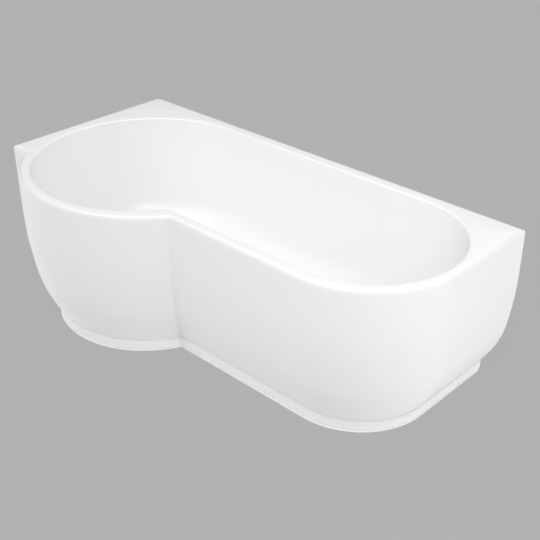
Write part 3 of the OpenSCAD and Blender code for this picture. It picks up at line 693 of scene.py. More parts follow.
# Smooths a finished piece and puts it in for its imported node, with the finish of that node's slot
def stand(piece, node, body="bath", degrees=35):
    smooth(piece, degrees)
    settle(piece, body, slotOfNode[node], finishOfSlot[slotOfNode[node]], node)


# Sizes of the plan, in metres, at the rim's height
backY = cadBox[1].y
leftX = cadBox[0].x
rightX = cadBox[1].x
rimZ = cadBox[1].z
plan = {
    "bowRadius": 0.470,
    "bowFromLeft": 0.456,
    "narrowWidth": 0.685,
    "sideWidth": 0.695,
    "crookRadius": 0.014,
    "cornerRadius": 0.328,
    "backCornerRound": 0.016,
    "endCornerRound": 0.006,
    # points along each stretch
    "backPoints": 24, "cornerPoints": 13, "leftPoints": 28, "cheekPoints": 26, "stepPoints": 8,
    "bowPoints": 150, "crookPoints": 36, "roundPoints": 96,
}
skirtFacts = {
    "wall": 0.005, "gap": 0.003,
    "plinthHeight": 0.038, "plinthProud": 0.003, "toeHeight": 0.004, "toeProud": 0.0015,
    "toeGroove": 0.002, "plinthEndRound": 0.018,
    "frontInset": 0.085, "endInset": 0.095, "cheekInset": 0.043,
    "bowShrink": 0.126, "bowForward": 0.045, "cornerShrink": 0.069,
    "rollWidth": 0.004, "rollHeight": 0.018,
    "leanStart": 0.420, "tuckStart": 0.210, "leanShare": 0.64,
    "ledgeWidth": 0.020, "ledgeThickness": 0.004, "flangeWidth": 0.025, "flangeThickness": 0.004,
    "levels": 46, "rollLevels": 8,
}
bowlFacts = {
    "rimBack": 0.041, "rimLeft": 0.045, "rimFront": 0.039, "rimEnd": 0.034,
    "bowRadius": 0.402, "crookRadius": 0.050, "crookOpen": 0.060,
    "floor": 0.145, "fall": 0.008, "blend": 0.100,
    "sideDraw": 0.115, "endDraw": 0.025, "bowDraw": 0.150, "leftDraw": 0.030, "draftShare": 0.35,
    "wall": 0.006, "lip": 0.035, "lipNose": 0.001, "rimRound": 0.006, "edgeRound": 0.003,
    "wasteFromEnd": 0.285, "wasteHole": 0.026, "wasteSeat": 0.038, "seatDepth": 0.002,
    "overflowDrop": 0.087, "overflowHole": 0.020, "overflowPad": 0.038, "padFront": 0.003, "padBack": -0.008,
    "blendLevels": 26, "wallLevels": 8, "rimLevels": 9, "edgeLevels": 6,
}
frontY = backY - plan["narrowWidth"]
sideY = backY - plan["sideWidth"]
bowX = leftX + plan["bowFromLeft"]
bowY = plan["bowRadius"] - backY
rimInset = skirtFacts["wall"] + skirtFacts["gap"]


def mix(a, b, share):
    return a + (b - a) * share


def polar(centre, radius, degrees):
    a = math.radians(degrees)
    return Vector((centre[0] + radius * math.cos(a), centre[1] + radius * math.sin(a)))


def arc(centre, radius, start, end, count, first=0):
    return [polar(centre, radius, mix(start, end, i / count)) for i in range(first, count + 1)]


def stretch(start, end, count, first=0, last=1):
    start, end = Vector(start), Vector(end)
    return [start.lerp(end, i / count) for i in range(first, count - last + 1)]


def quarterTurns(steps):
    return [math.radians(90 * i / steps) for i in range(steps + 1)]


def lifted(points, z):
    return [Vector((p.x, p.y, z)) for p in points]


# The crook's arc touches the bow from outside and the straight front at height y
def crookCentre(centre, bow, radius, y):
    across = math.sqrt((bow + radius) ** 2 - (y - radius - centre[1]) ** 2)
    return (centre[0] + across, y - radius)


def crookTurn(centre, crook):
    return math.degrees(math.atan2(crook[1] - centre[1], crook[0] - centre[0]))


# Outline of the skirt for a share of its full inset and an outward offset
def skirtPlan(share, offset):
    facts = skirtFacts
    centre = (bowX, bowY - facts["bowForward"] * share)
    radius = plan["bowRadius"] - facts["bowShrink"] * share + offset
    side = sideY + facts["cheekInset"] * share ** 1.5 - offset
    front = frontY + facts["frontInset"] * share - offset
    end = rightX - facts["endInset"] * share + offset
    crookRadius = plan["crookRadius"] - offset
    corner = plan["cornerRadius"] - facts["cornerShrink"] * share + offset
    stepX = bowX - math.sqrt(radius ** 2 - (side - centre[1]) ** 2)
    begin = 360 + math.degrees(math.atan2(side - centre[1], stepX - bowX))
    crook = crookCentre(centre, radius, crookRadius, front)
    turn = crookTurn(centre, crook)
    shared = (
        arc(centre, radius, begin, 360 + turn, plan["bowPoints"])
        + arc(crook, crookRadius, 180 + turn, 90, plan["crookPoints"], 1)
        + arc((end - corner, front + corner), corner, -90, 0, plan["roundPoints"])
    )
    return {"side": side, "stepX": stepX, "begin": begin, "end": end, "corner": corner, "front": front,
            "shared": shared}


def skirtLine(share, offset, z):
    found = skirtPlan(share, offset)
    wallEnd = [Vector((leftX, found["side"]))]
    return lifted(
        wallEnd + stretch(wallEnd[0], (found["stepX"], found["side"]), 8, 1)
        + found["shared"]
        + stretch((found["end"], found["front"] + found["corner"]), (found["end"], backY), 6, 1, 0),
        z,
    )


def rimLine(offset, z):
    found = skirtPlan(0, offset - rimInset)
    left, back = leftX - offset, backY + offset
    cornerRound = plan["backCornerRound"] + offset
    endRound = max(plan["endCornerRound"] + offset, 0.0005)
    middle = (bowlX, bowlY)
    x = found["end"]
    half = plan["roundPoints"] // 2
    return lifted(
        stretch((middle[0], back), (left + cornerRound, back), plan["backPoints"])
        + arc((left + cornerRound, back - cornerRound), cornerRound, 90, 180, plan["cornerPoints"] - 1)
        + stretch((left, back - cornerRound), (left, middle[1]), plan["leftPoints"] + 1, 1)
        + stretch((left, middle[1]), (left, found["side"]), plan["cheekPoints"])
        + stretch((left, found["side"]), (found["stepX"], found["side"]), plan["stepPoints"])
        + found["shared"]
        + stretch((x, found["front"] + found["corner"]), (x, back - endRound), half - 2, 1)
        + arc((x - endRound, back - endRound), endRound, 0, 90, 5)
        + stretch((x - endRound, back), (roundX, back), half - 3, 1, 0),
        z,
    )


bowlX = leftX + bowlFacts["rimLeft"] + bowlFacts["bowRadius"]
bowlY = backY - bowlFacts["rimBack"] - bowlFacts["bowRadius"]
bowlFront = frontY + bowlFacts["rimFront"]
roundRadius = (backY - bowlFacts["rimBack"] - bowlFront) / 2
roundX = rightX - bowlFacts["rimEnd"] - roundRadius
midY = bowlFront + roundRadius
bowlTop = rimZ - bowlFacts["rimRound"]
blendTop = bowlFacts["floor"] + bowlFacts["blend"]
wasteX = rightX - bowlFacts["wasteFromEnd"]


# Outline of the bowl for a share of its inset and an outward offset
def bowlPlan(share, offset):
    facts = bowlFacts
    centre = (bowlX + facts["leftDraw"] * share, bowlY + (facts["bowDraw"] - facts["sideDraw"]) * share)
    radius = facts["bowRadius"] - facts["bowDraw"] * share + offset
    crookRadius = facts["crookRadius"] + facts["crookOpen"] * share - offset
    crook = crookCentre(centre, radius, crookRadius, bowlFront + facts["sideDraw"] * share - offset)
    turn = crookTurn(centre, crook)
    begin = skirtPlan(0, 0)["begin"]
    first = plan["backPoints"] + plan["cornerPoints"] + plan["leftPoints"]
    second = plan["cheekPoints"] + plan["stepPoints"]
    endCentre = (roundX - facts["endDraw"] * share, midY)
    endRadius = roundRadius - facts["sideDraw"] * share + offset
    return (
        arc(centre, radius, 90, 180, first)[:-1]
        + arc(centre, radius, 180, begin, second)[:-1]
        + arc(centre, radius, begin, 360 + turn, plan["bowPoints"])
        + arc(crook, crookRadius, 180 + turn, 90, plan["crookPoints"], 1)
        + arc(endCentre, endRadius, -90, 0, plan["roundPoints"])
        + arc(endCentre, endRadius, 0, 90, plan["roundPoints"], 1)
    )


def draft(z):
    return bowlFacts["draftShare"] * (bowlTop - z) / (bowlTop - bowlFacts["floor"])


# The floor falls towards the waste, and the wall follows it less and less towards the rim
def fallen(points, z):
    share = (bowlTop - z) / (bowlTop - bowlFacts["floor"])
    return [
        Vector((p.x, p.y, z + share * bowlFacts["fall"] * (wasteX - p.x) / (wasteX - leftX))) for p in points
    ]


def bowlLine(a, outward=0.0):
    z = blendTop - bowlFacts["blend"] * math.sin(a)
    share = draft(z) + (1 - bowlFacts["draftShare"]) * (1 - math.cos(a))
    if outward:
        return lifted(bowlPlan(share, outward * math.cos(a)), z - outward * math.sin(a))
    return fallen(bowlPlan(share, 0), z)


# Acrylic in front and glass fibre on the faces drawn after the turning line
def twoFinishes(piece):
    for name in ("whiteAcrylic", "glassFibreBack"):
        piece.data.materials.append(finishes[name])


# The overflow's axis stands square to the right end wall, which leans
overflowTilt = math.degrees(math.atan(
    (bowlFacts["sideDraw"] + bowlFacts["endDraw"]) * bowlFacts["draftShare"] / (bowlTop - bowlFacts["floor"])
))
overflowZ = rimZ - bowlFacts["overflowDrop"]
overflowX = roundX + roundRadius - (bowlFacts["sideDraw"] + bowlFacts["endDraw"]) * draft(overflowZ)
overflowPlace = Matrix.Translation((overflowX, midY, overflowZ)) @ turnAbout("Y", overflowTilt - 90)
wasteAxis = Matrix.Translation((wasteX, midY, 0))


def makeBathShell():
    facts = bowlFacts
    blendTurns = quarterTurns(facts["blendLevels"])
    wallHeights = [mix(blendTop, bowlTop, i / facts["wallLevels"]) for i in range(1, facts["wallLevels"])]
    lines = [bowlLine(a) for a in reversed(blendTurns)]
    lines += [fallen(bowlPlan(draft(z), 0), z) for z in wallHeights]
    big, small, nose, outside = sizes(facts, "rimRound edgeRound lipNose wall")
    for a in quarterTurns(facts["rimLevels"]):
        lines.append(lifted(bowlPlan(0, big * (1 - math.cos(a))), bowlTop + big * math.sin(a)))
    for a in quarterTurns(facts["edgeLevels"]):
        lines.append(rimLine(-small * (1 - math.sin(a)), rimZ - small * (1 - math.cos(a))))
    lipZ = rimZ - facts["lip"]
    lines += [rimLine(0, lipZ + nose), rimLine(-nose, lipZ)]
    back = len(lines) - 1
    inner = -skirtFacts["wall"]
    underDeck = rimZ - outside + 0.001
    for outward, z in ((inner + nose, lipZ), (inner, lipZ + nose), (inner, underDeck - 0.006),
                       (inner - 0.002, underDeck - 0.002), (inner - 0.006, underDeck)):
        lines.append(rimLine(outward, z))
    for outward, drop in ((0.012, 0), (0.008, 0.001), (0.003, 0.005)):
        lines.append(lifted(bowlPlan(0, outside + outward), underDeck - drop))
    lines += [lifted(bowlPlan(draft(z), outside), z) for z in reversed(wallHeights)]
    lines += [bowlLine(a, outside) for a in blendTurns]
    shell = drawThrough("bathShell", lines, True, back)
    bpy.ops.mesh.edge_face_add()
    mesh = bmesh.from_edit_mesh(shell.data)
    for face in mesh.faces:
        if face.select:
            face.material_index = 1
    mesh.faces.active = None
    bmesh.update_edit_mesh(shell.data)
    selectOpen(shell)
    bpy.ops.mesh.edge_face_add()
    endSolid()
    twoFinishes(shell)
    pad, front, behind = facts["overflowPad"] / mm, facts["padFront"] / mm, facts["padBack"] / mm
    cut(shell, turned("pad", [
        (0, behind), (pad - 1, behind), (pad, behind + 1), (pad, front - 1), (pad - 0.3, front - 0.3),
        (pad - 1, front), (0, front)
    ], overflowPlace, 96), "UNION")
    drill(shell, [overflowPlace @ at(0, 0, (front + behind) / 2)], facts["overflowHole"] / mm, 16, 64)
    seatZ = (facts["floor"] - facts["seatDepth"]) / mm
    drill(shell, [wasteAxis @ at(0, 0, seatZ + 8)], facts["wasteSeat"] / mm, 16, 96)
    drill(shell, [wasteAxis @ at(0, 0, seatZ)], facts["wasteHole"] / mm, 30, 64)
    return shell


bathShell = makeBathShell()
smooth(bathShell)
settle(bathShell, "bath", "acrylic", None, "tub_shell")
print("bath shell drawn:", len(bathShell.data.polygons), "faces")


def tuck(z):
    facts = skirtFacts
    lean = max(0.0, facts["leanStart"] - z) / (facts["leanStart"] - facts["plinthHeight"])
    under = max(0.0, facts["tuckStart"] - z) / (facts["tuckStart"] - facts["plinthHeight"])
    return facts["leanShare"] * lean ** 2 + (1 - facts["leanShare"]) * under ** 2


# Cleats stand on the floor flange against the plinth's inner face: at the bow, the front and the right end
cleatHole = 2.75
cleatHoles = [at(s * 12, 13.2, 0) for s in (-1, 1)]
flangeTop = skirtFacts["flangeThickness"] / mm
plinthBow = (bowY - skirtFacts["bowForward"] - plan["bowRadius"] + skirtFacts["bowShrink"] + skirtFacts["wall"]) / mm
plinthFront = (frontY + skirtFacts["frontInset"] + skirtFacts["wall"]) / mm
plinthEnd = (rightX - skirtFacts["endInset"] - skirtFacts["wall"]) / mm
cleatPlaces = {
    "skirt_cleat_bow": at(bowX / mm, plinthBow + 1.5, flangeTop),
    "skirt_cleat_front": at(200, plinthFront, flangeTop),
    "skirt_cleat_end": at(plinthEnd, 150, flangeTop) @ turnAbout("Z", 90),
}


def makeBathSkirt():
    facts = skirtFacts
    proud, toe = facts["plinthProud"], facts["plinthProud"] + facts["toeProud"]
    top, wall, foot, levels = sizes(facts, "plinthHeight wall toeHeight levels")
    heights = [mix(top + 0.001, facts["leanStart"], (i / levels) ** 1.15) for i in range(levels + 1)]
    turns = quarterTurns(facts["rollLevels"])
    width, height, groove, flange = sizes(facts, "rollWidth rollHeight toeGroove flangeThickness")
    ledgeZ = rimZ - bowlFacts["lip"] - 0.002
    inner, ledge = -wall - facts["flangeWidth"], -wall - facts["ledgeWidth"]
    # small steps round the edges of the toe, the groove and the plinth
    lines = [skirtLine(1, outward, z) for outward, z in (
        (toe, 0), (toe, foot - 0.0012), (toe - 0.0004, foot - 0.0004), (proud + 0.0003, foot),
        (proud - groove, foot + 0.0003), (proud - groove, foot + groove), (proud, foot + groove + 0.0005),
        (proud, top - 0.0014), (proud - 0.0004, top - 0.0004), (proud - 0.0014, top), (0.0006, top),
    )]
    lines += [skirtLine(tuck(z), 0, z) for z in heights]
    lines += [skirtLine(0, -width * (1 - math.cos(a)), rimZ - height * (1 - math.sin(a))) for a in turns]
    lines += [skirtLine(0, outward, z) for outward, z in (
        (-wall + 0.0005, rimZ), (-wall, rimZ - 0.0005), (-wall, ledgeZ), (ledge, ledgeZ)
    )]
    back = len(lines) - 1
    ledgeUnder = ledgeZ - facts["ledgeThickness"]
    lines += [skirtLine(0, outward, z) for outward, z in (
        (ledge, ledgeUnder), (-wall - 0.003, ledgeUnder), (-wall, ledgeUnder - 0.003)
    )]
    lines += [skirtLine(tuck(z), -wall, z) for z in reversed(heights)]
    lines += [skirtLine(1, outward, z) for outward, z in ((-wall, flange), (inner, flange), (inner, 0))]
    skirt = drawThrough("bathSkirt", lines, False, back)
    closeBand(skirt, len(lines[0]) - 1)
    twoFinishes(skirt)
    drill(skirt, [place @ hole for place in cleatPlaces.values() for hole in cleatHoles], cleatHole, 10)
    # the plinth's end at the back wall is rounded
    r, end = facts["plinthEndRound"] / mm, backY / mm
    corner = [(end - r, -2), (end + 2, -2), (end + 2, r)]
    corner += [tuple(point) for point in arc((end - r, r), r, 0, -90, 10)]
    cut(skirt, pulled("corner", corner, 160, at(700, 0, 0) @ axes((0, 1, 0), (0, 0, 1))))
    return skirt


bathSkirt = makeBathSkirt()
smooth(bathSkirt)
settle(bathSkirt, "bath", "acrylic", None, "skirt_shell")
print("skirt drawn:", len(bathSkirt.data.polygons), "faces")

# Sealant on the ledge and in the joint, with a slightly hollow face
sealantFacts = {"under": 0.002, "width": 0.012, "below": 0.0015, "hollow": 0.0006}


def makeJointSealant():
    facts = sealantFacts
    wall, gap = skirtFacts["wall"], skirtFacts["gap"]
    low = rimZ - bowlFacts["lip"] - facts["under"]
    top = rimZ - facts["below"]
    wide = wall + gap + facts["width"]
    section = [(wide, low), (wall, low), (wall, top)]
    section += [(wall + gap * s, top - facts["hollow"] * math.sin(math.pi * s)) for s in (0.25, 0.5, 0.75)]
    section += [(wall + gap, top), (wall + gap, low + facts["under"]), (wide, low + facts["under"])]
    lines = [skirtLine(0, -inward, z) for inward, z in section]
    sealant = drawThrough("jointSealant", lines, False)
    closeBand(sealant, len(lines[0]) - 1)
    return sealant


stand(makeJointSealant(), "joint_seal")
print("sealant laid")

# Cradles: folded channels across the base board
cradleFacts = {
    "x": (-520, -180, 400), "frontY": (-272.02, -204.21, -97.5), "backY": (320, 340, 320),
    "screwRows": ((-110.5, 179.5), (-41.5, 239.5), (-41.5, 239.5)),
    "top": 121, "width": 50, "height": 25, "steel": 2, "bend": 2.6, "over": 28,
    "rodHole": 5.3, "screwHole": 2.3, "screwSide": 14,
}


def makeCradle(name, k):
    facts = cradleFacts
    half = (facts["width"] - facts["steel"]) / 2
    web = -facts["steel"] / 2
    section = sheetSection([(-half, -facts["height"]), (-half, web), (half, web), (half, -facts["height"])],
                           facts["steel"], facts["bend"])
    x, near, far = facts["x"][k], facts["frontY"][k] - facts["over"], facts["backY"][k] + facts["over"]
    cradle = pulled(name, section, far - near, at(x, far, facts["top"]) @ axes((1, 0, 0), (0, 0, 1)))
    z = facts["top"] + web
    drill(cradle, [at(x, y, z) for y in (facts["frontY"][k], facts["backY"][k])], facts["rodHole"], 4)
    drill(cradle, [at(x + s * facts["screwSide"], y, z) for y in facts["screwRows"][k] for s in (-1, 1)],
          facts["screwHole"], 4, 24)
    return cradle


for k, node in enumerate(("cradle_left", "cradle_middle", "cradle_right")):
    stand(makeCradle("channel" + str(k + 1), k), node)
print("cradles folded")

# Pan-head screws with a cross recess, from below through the cradles
screwFacts = {"headRadius": 4, "headHeight": 2.5, "radius": 2, "depth": 12, "recess": 1.2}


def makeScrews():
    facts = screwFacts
    head, drop, r, deep = sizes(facts, "headRadius headHeight radius depth")
    screw = turned("boardScrews", [
        (0, -drop), (head * 0.5, -drop), (head * 0.8, -drop * 0.86), (head * 0.96, -drop * 0.55), (head, -0.4),
        (head - 0.15, 0), (r, 0), (r, deep - 3), (0.2, deep), (0, deep)
    ], steps=32)
    for turn in (0, 90):
        bar = pulled("bar", [(-2, -0.4), (2, -0.4), (2, 0.4), (-2, 0.4)], facts["recess"] + 1,
                     turnAbout("Z", turn) @ at(0, 0, -drop - 1))
        cut(screw, bar)
    web = cradleFacts["top"] - cradleFacts["steel"]
    return repeated(screw, "boardScrews", [
        at(cradleFacts["x"][k] + s * cradleFacts["screwSide"], y, web)
        for k in range(3) for y in cradleFacts["screwRows"][k] for s in (-1, 1)
    ])


stand(makeScrews(), "cradle_screws")

# Threaded rods, chamfered nuts and feet. A foot is counted from the left, the front one first
footFacts = {
    "rodRadius": 5, "rodLow": 8, "rodHigh": 133, "pitch": 1.5, "threadDepth": 0.75,
    "nutRadius": 9.8, "nutHeight": 8, "padRadius": 25, "padHeight": 6, "bossRadius": 12, "bossHeight": 18,
}
footPlaces = [
    at(cradleFacts["x"][k], cradleFacts[side][k], 0) for k in range(3) for side in ("frontY", "backY")
]


def makeRod():
    facts = footFacts
    r, pitch, low, high = sizes(facts, "rodRadius pitch rodLow rodHigh")
    core = r - facts["threadDepth"]
    profile = [(core, 0), (r, pitch * 0.42), (r, pitch * 0.56), (core, pitch)]
    rod = drawThrough("rod", [[Vector((x, 0, z + low - 3 * pitch)) * mm for x, z in profile]], False)
    bpy.ops.object.mode_set(mode="OBJECT")
    thread = rod.modifiers.new("thread", "SCREW")
    thread.steps = 20
    thread.render_steps = 20
    thread.screw_offset = pitch * mm
    thread.iterations = round((high - low) / pitch) + 5
    thread.use_merge_vertices = True
    thread.merge_threshold = 1e-6
    applyAll(rod)
    bpy.ops.object.mode_set(mode="EDIT")
    for height, down, up in ((low, True, False), (high, False, True)):
        bpy.ops.mesh.select_all(action="SELECT")
        bpy.ops.mesh.bisect(plane_co=(0, 0, height * mm), plane_no=(0, 0, 1), use_fill=True,
                            clear_inner=down, clear_outer=up)
    bpy.ops.mesh.select_all(action="SELECT")
    bpy.ops.mesh.remove_doubles(threshold=1e-6)
    endSolid()
    return rod


def standAtFeet(pattern, name, node, degrees):
    for number, place in enumerate(footPlaces, 1):
        piece = copied(pattern, name + str(number), place)
        stand(piece, node + str(number), "foot_" + str(number), degrees)
    bpy.data.objects.remove(pattern)


standAtFeet(makeRod(), "threadedRod", "leg_rod_", 25)


def makeNuts():
    facts = footFacts
    r, high = sizes(facts, "nutRadius nutHeight")
    nut = pulled("rodNuts", regular(r, 6), high)
    chamferEnds(nut, r, 0, high, 1.0, Matrix())
    drill(nut, [at(0, 0, high / 2)], facts["rodRadius"] + 0.3, high + 2)
    web = cradleFacts["top"] - cradleFacts["steel"]
    return repeated(nut, "rodNuts", [place @ at(0, 0, z) for place in footPlaces
                                     for z in (web - high, cradleFacts["top"])])


stand(makeNuts(), "leg_nuts")


def makePad():
    facts = footFacts
    r, high, boss, top = sizes(facts, "padRadius padHeight bossRadius bossHeight")
    bore = facts["rodRadius"] + 0.3
    pad = turned("footPad", [
        (0, 0), (r - 0.8, 0), (r, 0.8), (r, high - 1.6), (r - 0.5, high - 0.5), (r - 1.6, high), (boss + 3, high),
        (boss + 0.9, high + 0.7), (boss, high + 2.4), (boss, top - 1), (boss - 0.8, top), (bore + 0.7, top),
        (bore, top - 0.7), (bore, facts["rodLow"]), (0, facts["rodLow"])
    ])
    grooves = [at(0, 0, 0) @ turnAbout("Z", a) @ at(r * 0.5, 0, 0) @ turnAbout("Y", 90) for a in range(0, 360, 45)]
    drill(pad, grooves, 0.9, r * 0.7, 12)
    return pad


standAtFeet(makePad(), "footPad", "foot_pad_", 35)
print("feet, rods, nuts and screws made")

# Waste: chromed flange, plug, seals and body on one axis
wasteFacts = {
    "seat": 143, "flange": 35, "tail": 24, "bore": 21, "tailLow": 88, "boss": 7, "stem": 4, "crossLow": 128,
    "crossHigh": 134, "rib": 3, "portHeight": 113, "window": 5,
}


# Welds webs between a hub and the wall round it
def makeWebs(piece, inner, outer, low, high, turns, place):
    rib = wasteFacts["rib"] / 2
    for turn in turns:
        web = pulled("web", [(inner, -rib), (outer, -rib), (outer, rib), (inner, rib)], high - low,
                     place @ turnAbout("Z", turn) @ at(0, 0, low))
        cut(piece, web, "UNION")


def makeWasteFlange():
    facts = wasteFacts
    seat, bore, tail, foot, rim = sizes(facts, "seat bore tail tailLow flange")
    boss, under, over = sizes(facts, "boss crossLow crossHigh")
    low = seat + 1.5
    flange = turned("wasteFlange", [
        (bore, foot), (tail - 0.6, foot), (tail, foot + 0.6), (tail, low),
        (rim - 0.5, low), (rim, low + 0.5), (rim - 0.3, low + 1.4), (rim - 1.5, low + 2.3), (rim - 4, low + 2.9),
        (rim - 6, low + 3), (bore + 2.4, low + 3), (bore + 0.8, low + 2.6), (bore, low + 1.6)
    ], wasteAxis, 96)
    cut(flange, washer("hub", boss, facts["stem"] + 0.05, under, over, wasteAxis, 0.8, 48), "UNION")
    makeWebs(flange, boss - 1, bore + 1, under, over, (0, 90, 180, 270), wasteAxis)
    holes = [wasteAxis @ at(0, 0, facts["portHeight"]) @ turnAbout("Z", a) @ turnAbout("Y", 90) for a in (45, 135)]
    drill(flange, holes, facts["window"], 2 * tail + 4)
    return flange


stand(makeWasteFlange(), "waste_flange")

plugFacts = {"low": 98, "neck": 20, "neckLow": 147.8, "ring": 27, "lip": 29, "lipLow": 149.8, "crown": 4}


def makePlug():
    facts = plugFacts
    low, neck, under, lip, edge = sizes(facts, "low neck neckLow lip lipLow")
    stem = wasteFacts["stem"]
    top = edge + facts["crown"]
    return turned("wastePlug", [
        (0, low), (stem - 0.6, low), (stem, low + 0.6), (stem, under), (neck - 0.6, under), (neck, under + 0.4),
        (neck, edge), (lip - 0.7, edge), (lip, edge + 0.6), (lip, edge + 1.6), (lip - 0.6, edge + 2.5),
        (lip - 2, edge + 3.1), (lip - 7, top - 0.4), (lip - 17, top - 0.1), (0, top)
    ], wasteAxis, 96)


def makePlugRing():
    neck, under, ring, edge = sizes(plugFacts, "neck neckLow ring lipLow")
    return turned("plugRing", [
        (neck, under), (ring - 1.4, under), (ring - 0.4, under + 0.2), (ring, under + 0.7), (ring, edge - 0.7),
        (ring - 0.4, edge - 0.2), (ring - 1, edge), (neck, edge)
    ], wasteAxis, 96)


stand(makePlug(), "waste_plug", "plug")
stand(makePlugRing(), "plug_seal", "plug")

# Flat seals: name, outer and inner radius, low and high end along their axis, edge rounding
sealFacts = {
    "waste_top_seal": ("wasteTopSeal", 33, 25, 143, 144.5, 0.3),
    "waste_under_seal": ("wasteUnderSeal", 37, 25, 136, 139, 0.6),
    "trap_washer": ("trapWasher", 24, 18, 57.5, 60, 0.4),
    "overflow_front_seal": ("overflowFrontSeal", 34, 22, 3, 4.5, 0.3),
    "overflow_rear_seal": ("overflowRearSeal", 29, 21, -10.5, -8, 0.6),
}


def standSeal(node, place):
    name, outer, inner, low, high, soft = sealFacts[node]
    stand(washer(name, outer, inner, low, high, place, soft), node)


standSeal("waste_top_seal", wasteAxis)
standSeal("waste_under_seal", wasteAxis)


# A pushed-on hose end: a collar, then barbs along the spigot
def spigot(name, collar, stop, reach, place, radius=8.4):
    profile = [(0, 0), (collar, 0), (collar, stop - 0.8), (collar - 0.8, stop), (radius - 0.4, stop)]
    step = (reach - stop - 4) / 3
    for i in range(3):
        z = stop + 1.5 + step * i
        profile += [(radius - 0.4, z + step * 0.3), (radius, z + step * 0.4), (radius - 0.4, z + step)]
    profile += [(radius - 1, reach), (0, reach)]
    return turned(name, profile, place, 40)


def drillPort(piece, place, facts):
    drill(piece, [place @ at(0, 0, facts["reach"] / 2 + 1)], facts["portBore"], facts["reach"] + 2)


chamberFacts = {
    "low": 60, "high": 136, "tail": 24, "shoulder": 80, "radius": 31, "flange": 39, "flangeLow": 131,
    "bore": 18, "step": 84, "socket": 24.3, "socketHigh": 104, "hollow": 27,
    "collar": 13, "stop": 38, "reach": 62, "portBore": 6.5,
}


def makeWasteBody():
    facts = chamberFacts
    low, high, tail, shoulder, r, flange, under = sizes(facts, "low high tail shoulder radius flange flangeLow")
    body = turned("wasteChamber", [
        (0, low), (tail - 0.8, low), (tail, low + 0.8), (tail, shoulder), (r - 1.6, shoulder), (r, shoulder + 1.6),
        (r, under - 1.4), (r + 0.5, under - 0.4), (r + 1.6, under), (flange - 0.8, under), (flange, under + 0.8),
        (flange, high - 0.6), (flange - 0.6, high), (0, high)
    ], wasteAxis, 72)
    port = wasteAxis @ at(0, 0, wasteFacts["portHeight"]) @ turnAbout("Y", 90)
    cut(body, spigot("port", facts["collar"], facts["stop"], facts["reach"], port), "UNION")
    bore, step, socket, end, hollow = sizes(facts, "bore step socket socketHigh hollow")
    cut(body, turned("bore", [
        (0, low - 1), (bore, low - 1), (bore, step), (socket, step), (socket, end), (hollow, end), (hollow, high + 1),
        (0, high + 1)
    ], wasteAxis, 72))
    drillPort(body, port, facts)
    return body


stand(makeWasteBody(), "waste_body")
print("waste turned")

# Trap: ribbed nuts, a drum with its dip tube and weir, the pipe socket and the clean-out
trapFacts = {
    "pipeHeight": 34, "cleanHeight": 29, "wall": 3,
    "low": 8, "drum": 42, "drumHigh": 46, "neck": 20, "collar": 24, "collarLow": 53.5, "high": 57.5, "dip": 15,
    "weir": 25, "weirHeight": 26, "socket": 23.8, "socketStart": 40, "socketStep": 50, "socketEnd": 84,
    "outlet": 12, "pipe": 20.3, "pipeStop": 54, "cleanBore": 14, "cleanMiddle": 50, "cleanLength": 41,
}
nutFacts = {
    "grip": 30, "valley": 28.6, "ribs": 24, "chamfer": 1.4,
    # low and high end, height of the step, radius below and above it
    "trapNut": (50, 76, 53.5, 20.3, 24.3), "outletNut": (66, 88, 84, 24.1, 20.6),
}
cleanOutFacts = {"radius": 18, "sides": 8, "start": 42.3, "height": 6, "chamfer": 1.2, "plug": 13.7, "plugStart": 35}
pipeWay = wasteAxis @ at(0, 0, trapFacts["pipeHeight"]) @ turnAbout("X", -90)
cleanWay = wasteAxis @ at(0, 0, trapFacts["cleanHeight"]) @ turnAbout("X", 90)


def makeTrapNut(name, place):
    facts = nutFacts
    low, high, step, throat, bore = facts[name]
    nut = pulled(name, ribbed(facts["grip"], facts["valley"], facts["ribs"]), high - low, place @ at(0, 0, low))
    chamferEnds(nut, facts["grip"], low, high, facts["chamfer"], place)
    cut(nut, turned("bore", [
        (0, low - 1), (throat, low - 1), (throat, step), (bore, step), (bore, high + 1), (0, high + 1)
    ], place))
    return nut


stand(makeTrapNut("trapNut", wasteAxis), "trap_nut", degrees=25)
stand(makeTrapNut("outletNut", pipeWay), "trap_outlet_nut", degrees=25)
standSeal("trap_washer", wasteAxis)


def makeTrapBody():
    facts = trapFacts
    low, r, high, neck, wall, top, collar, under = sizes(facts, "low drum drumHigh neck wall high collar collarLow")
    body = turned("trapDrum", [
        (0, low), (r - 3.4, low), (r - 1, low + 1), (r, low + 3.4), (r, high - 3), (r - 0.8, high - 1), (r - 3, high),
        (neck, high), (neck, under), (collar, under), (collar, top - 0.3), (collar - 0.3, top), (0, top)
    ], wasteAxis, 96)
    socket, start, step, end = sizes(facts, "socket socketStart socketStep socketEnd")
    cut(body, turned("neck", [
        (0, start), (neck, start), (neck, step - 1.6), (neck + 1, step), (socket - 0.8, step), (socket, step + 0.8),
        (socket, end - 0.6), (socket - 0.6, end), (0, end)
    ], pipeWay, 72), "UNION")
    inside, tube, dip = r - wall, neck - wall, facts["dip"]
    cut(body, turned("hollow", [
        (0, low + wall), (inside, low + wall), (inside, high - wall), (neck, high - wall), (neck, dip), (tube, dip),
        (tube, top + 1.5), (0, top + 1.5)
    ], wasteAxis, 72))
    weir = facts["weir"]
    half = math.sqrt(inside ** 2 - weir ** 2) + 0.6
    cut(body, pulled("weir", [(-half, weir), (half, weir), (half, weir + wall), (-half, weir + wall)],
                     facts["weirHeight"], wasteAxis @ at(0, 0, low + 1)), "UNION")
    outlet, pipe, stop = sizes(facts, "outlet pipe pipeStop")
    cut(body, turned("outlet", [
        (0, start - 2), (outlet, start - 2), (outlet, stop), (pipe, stop), (pipe, end + 1), (0, end + 1)
    ], pipeWay, 64))
    drill(body, [cleanWay @ at(0, 0, facts["cleanMiddle"])], facts["cleanBore"], facts["cleanLength"], 48)
    return body


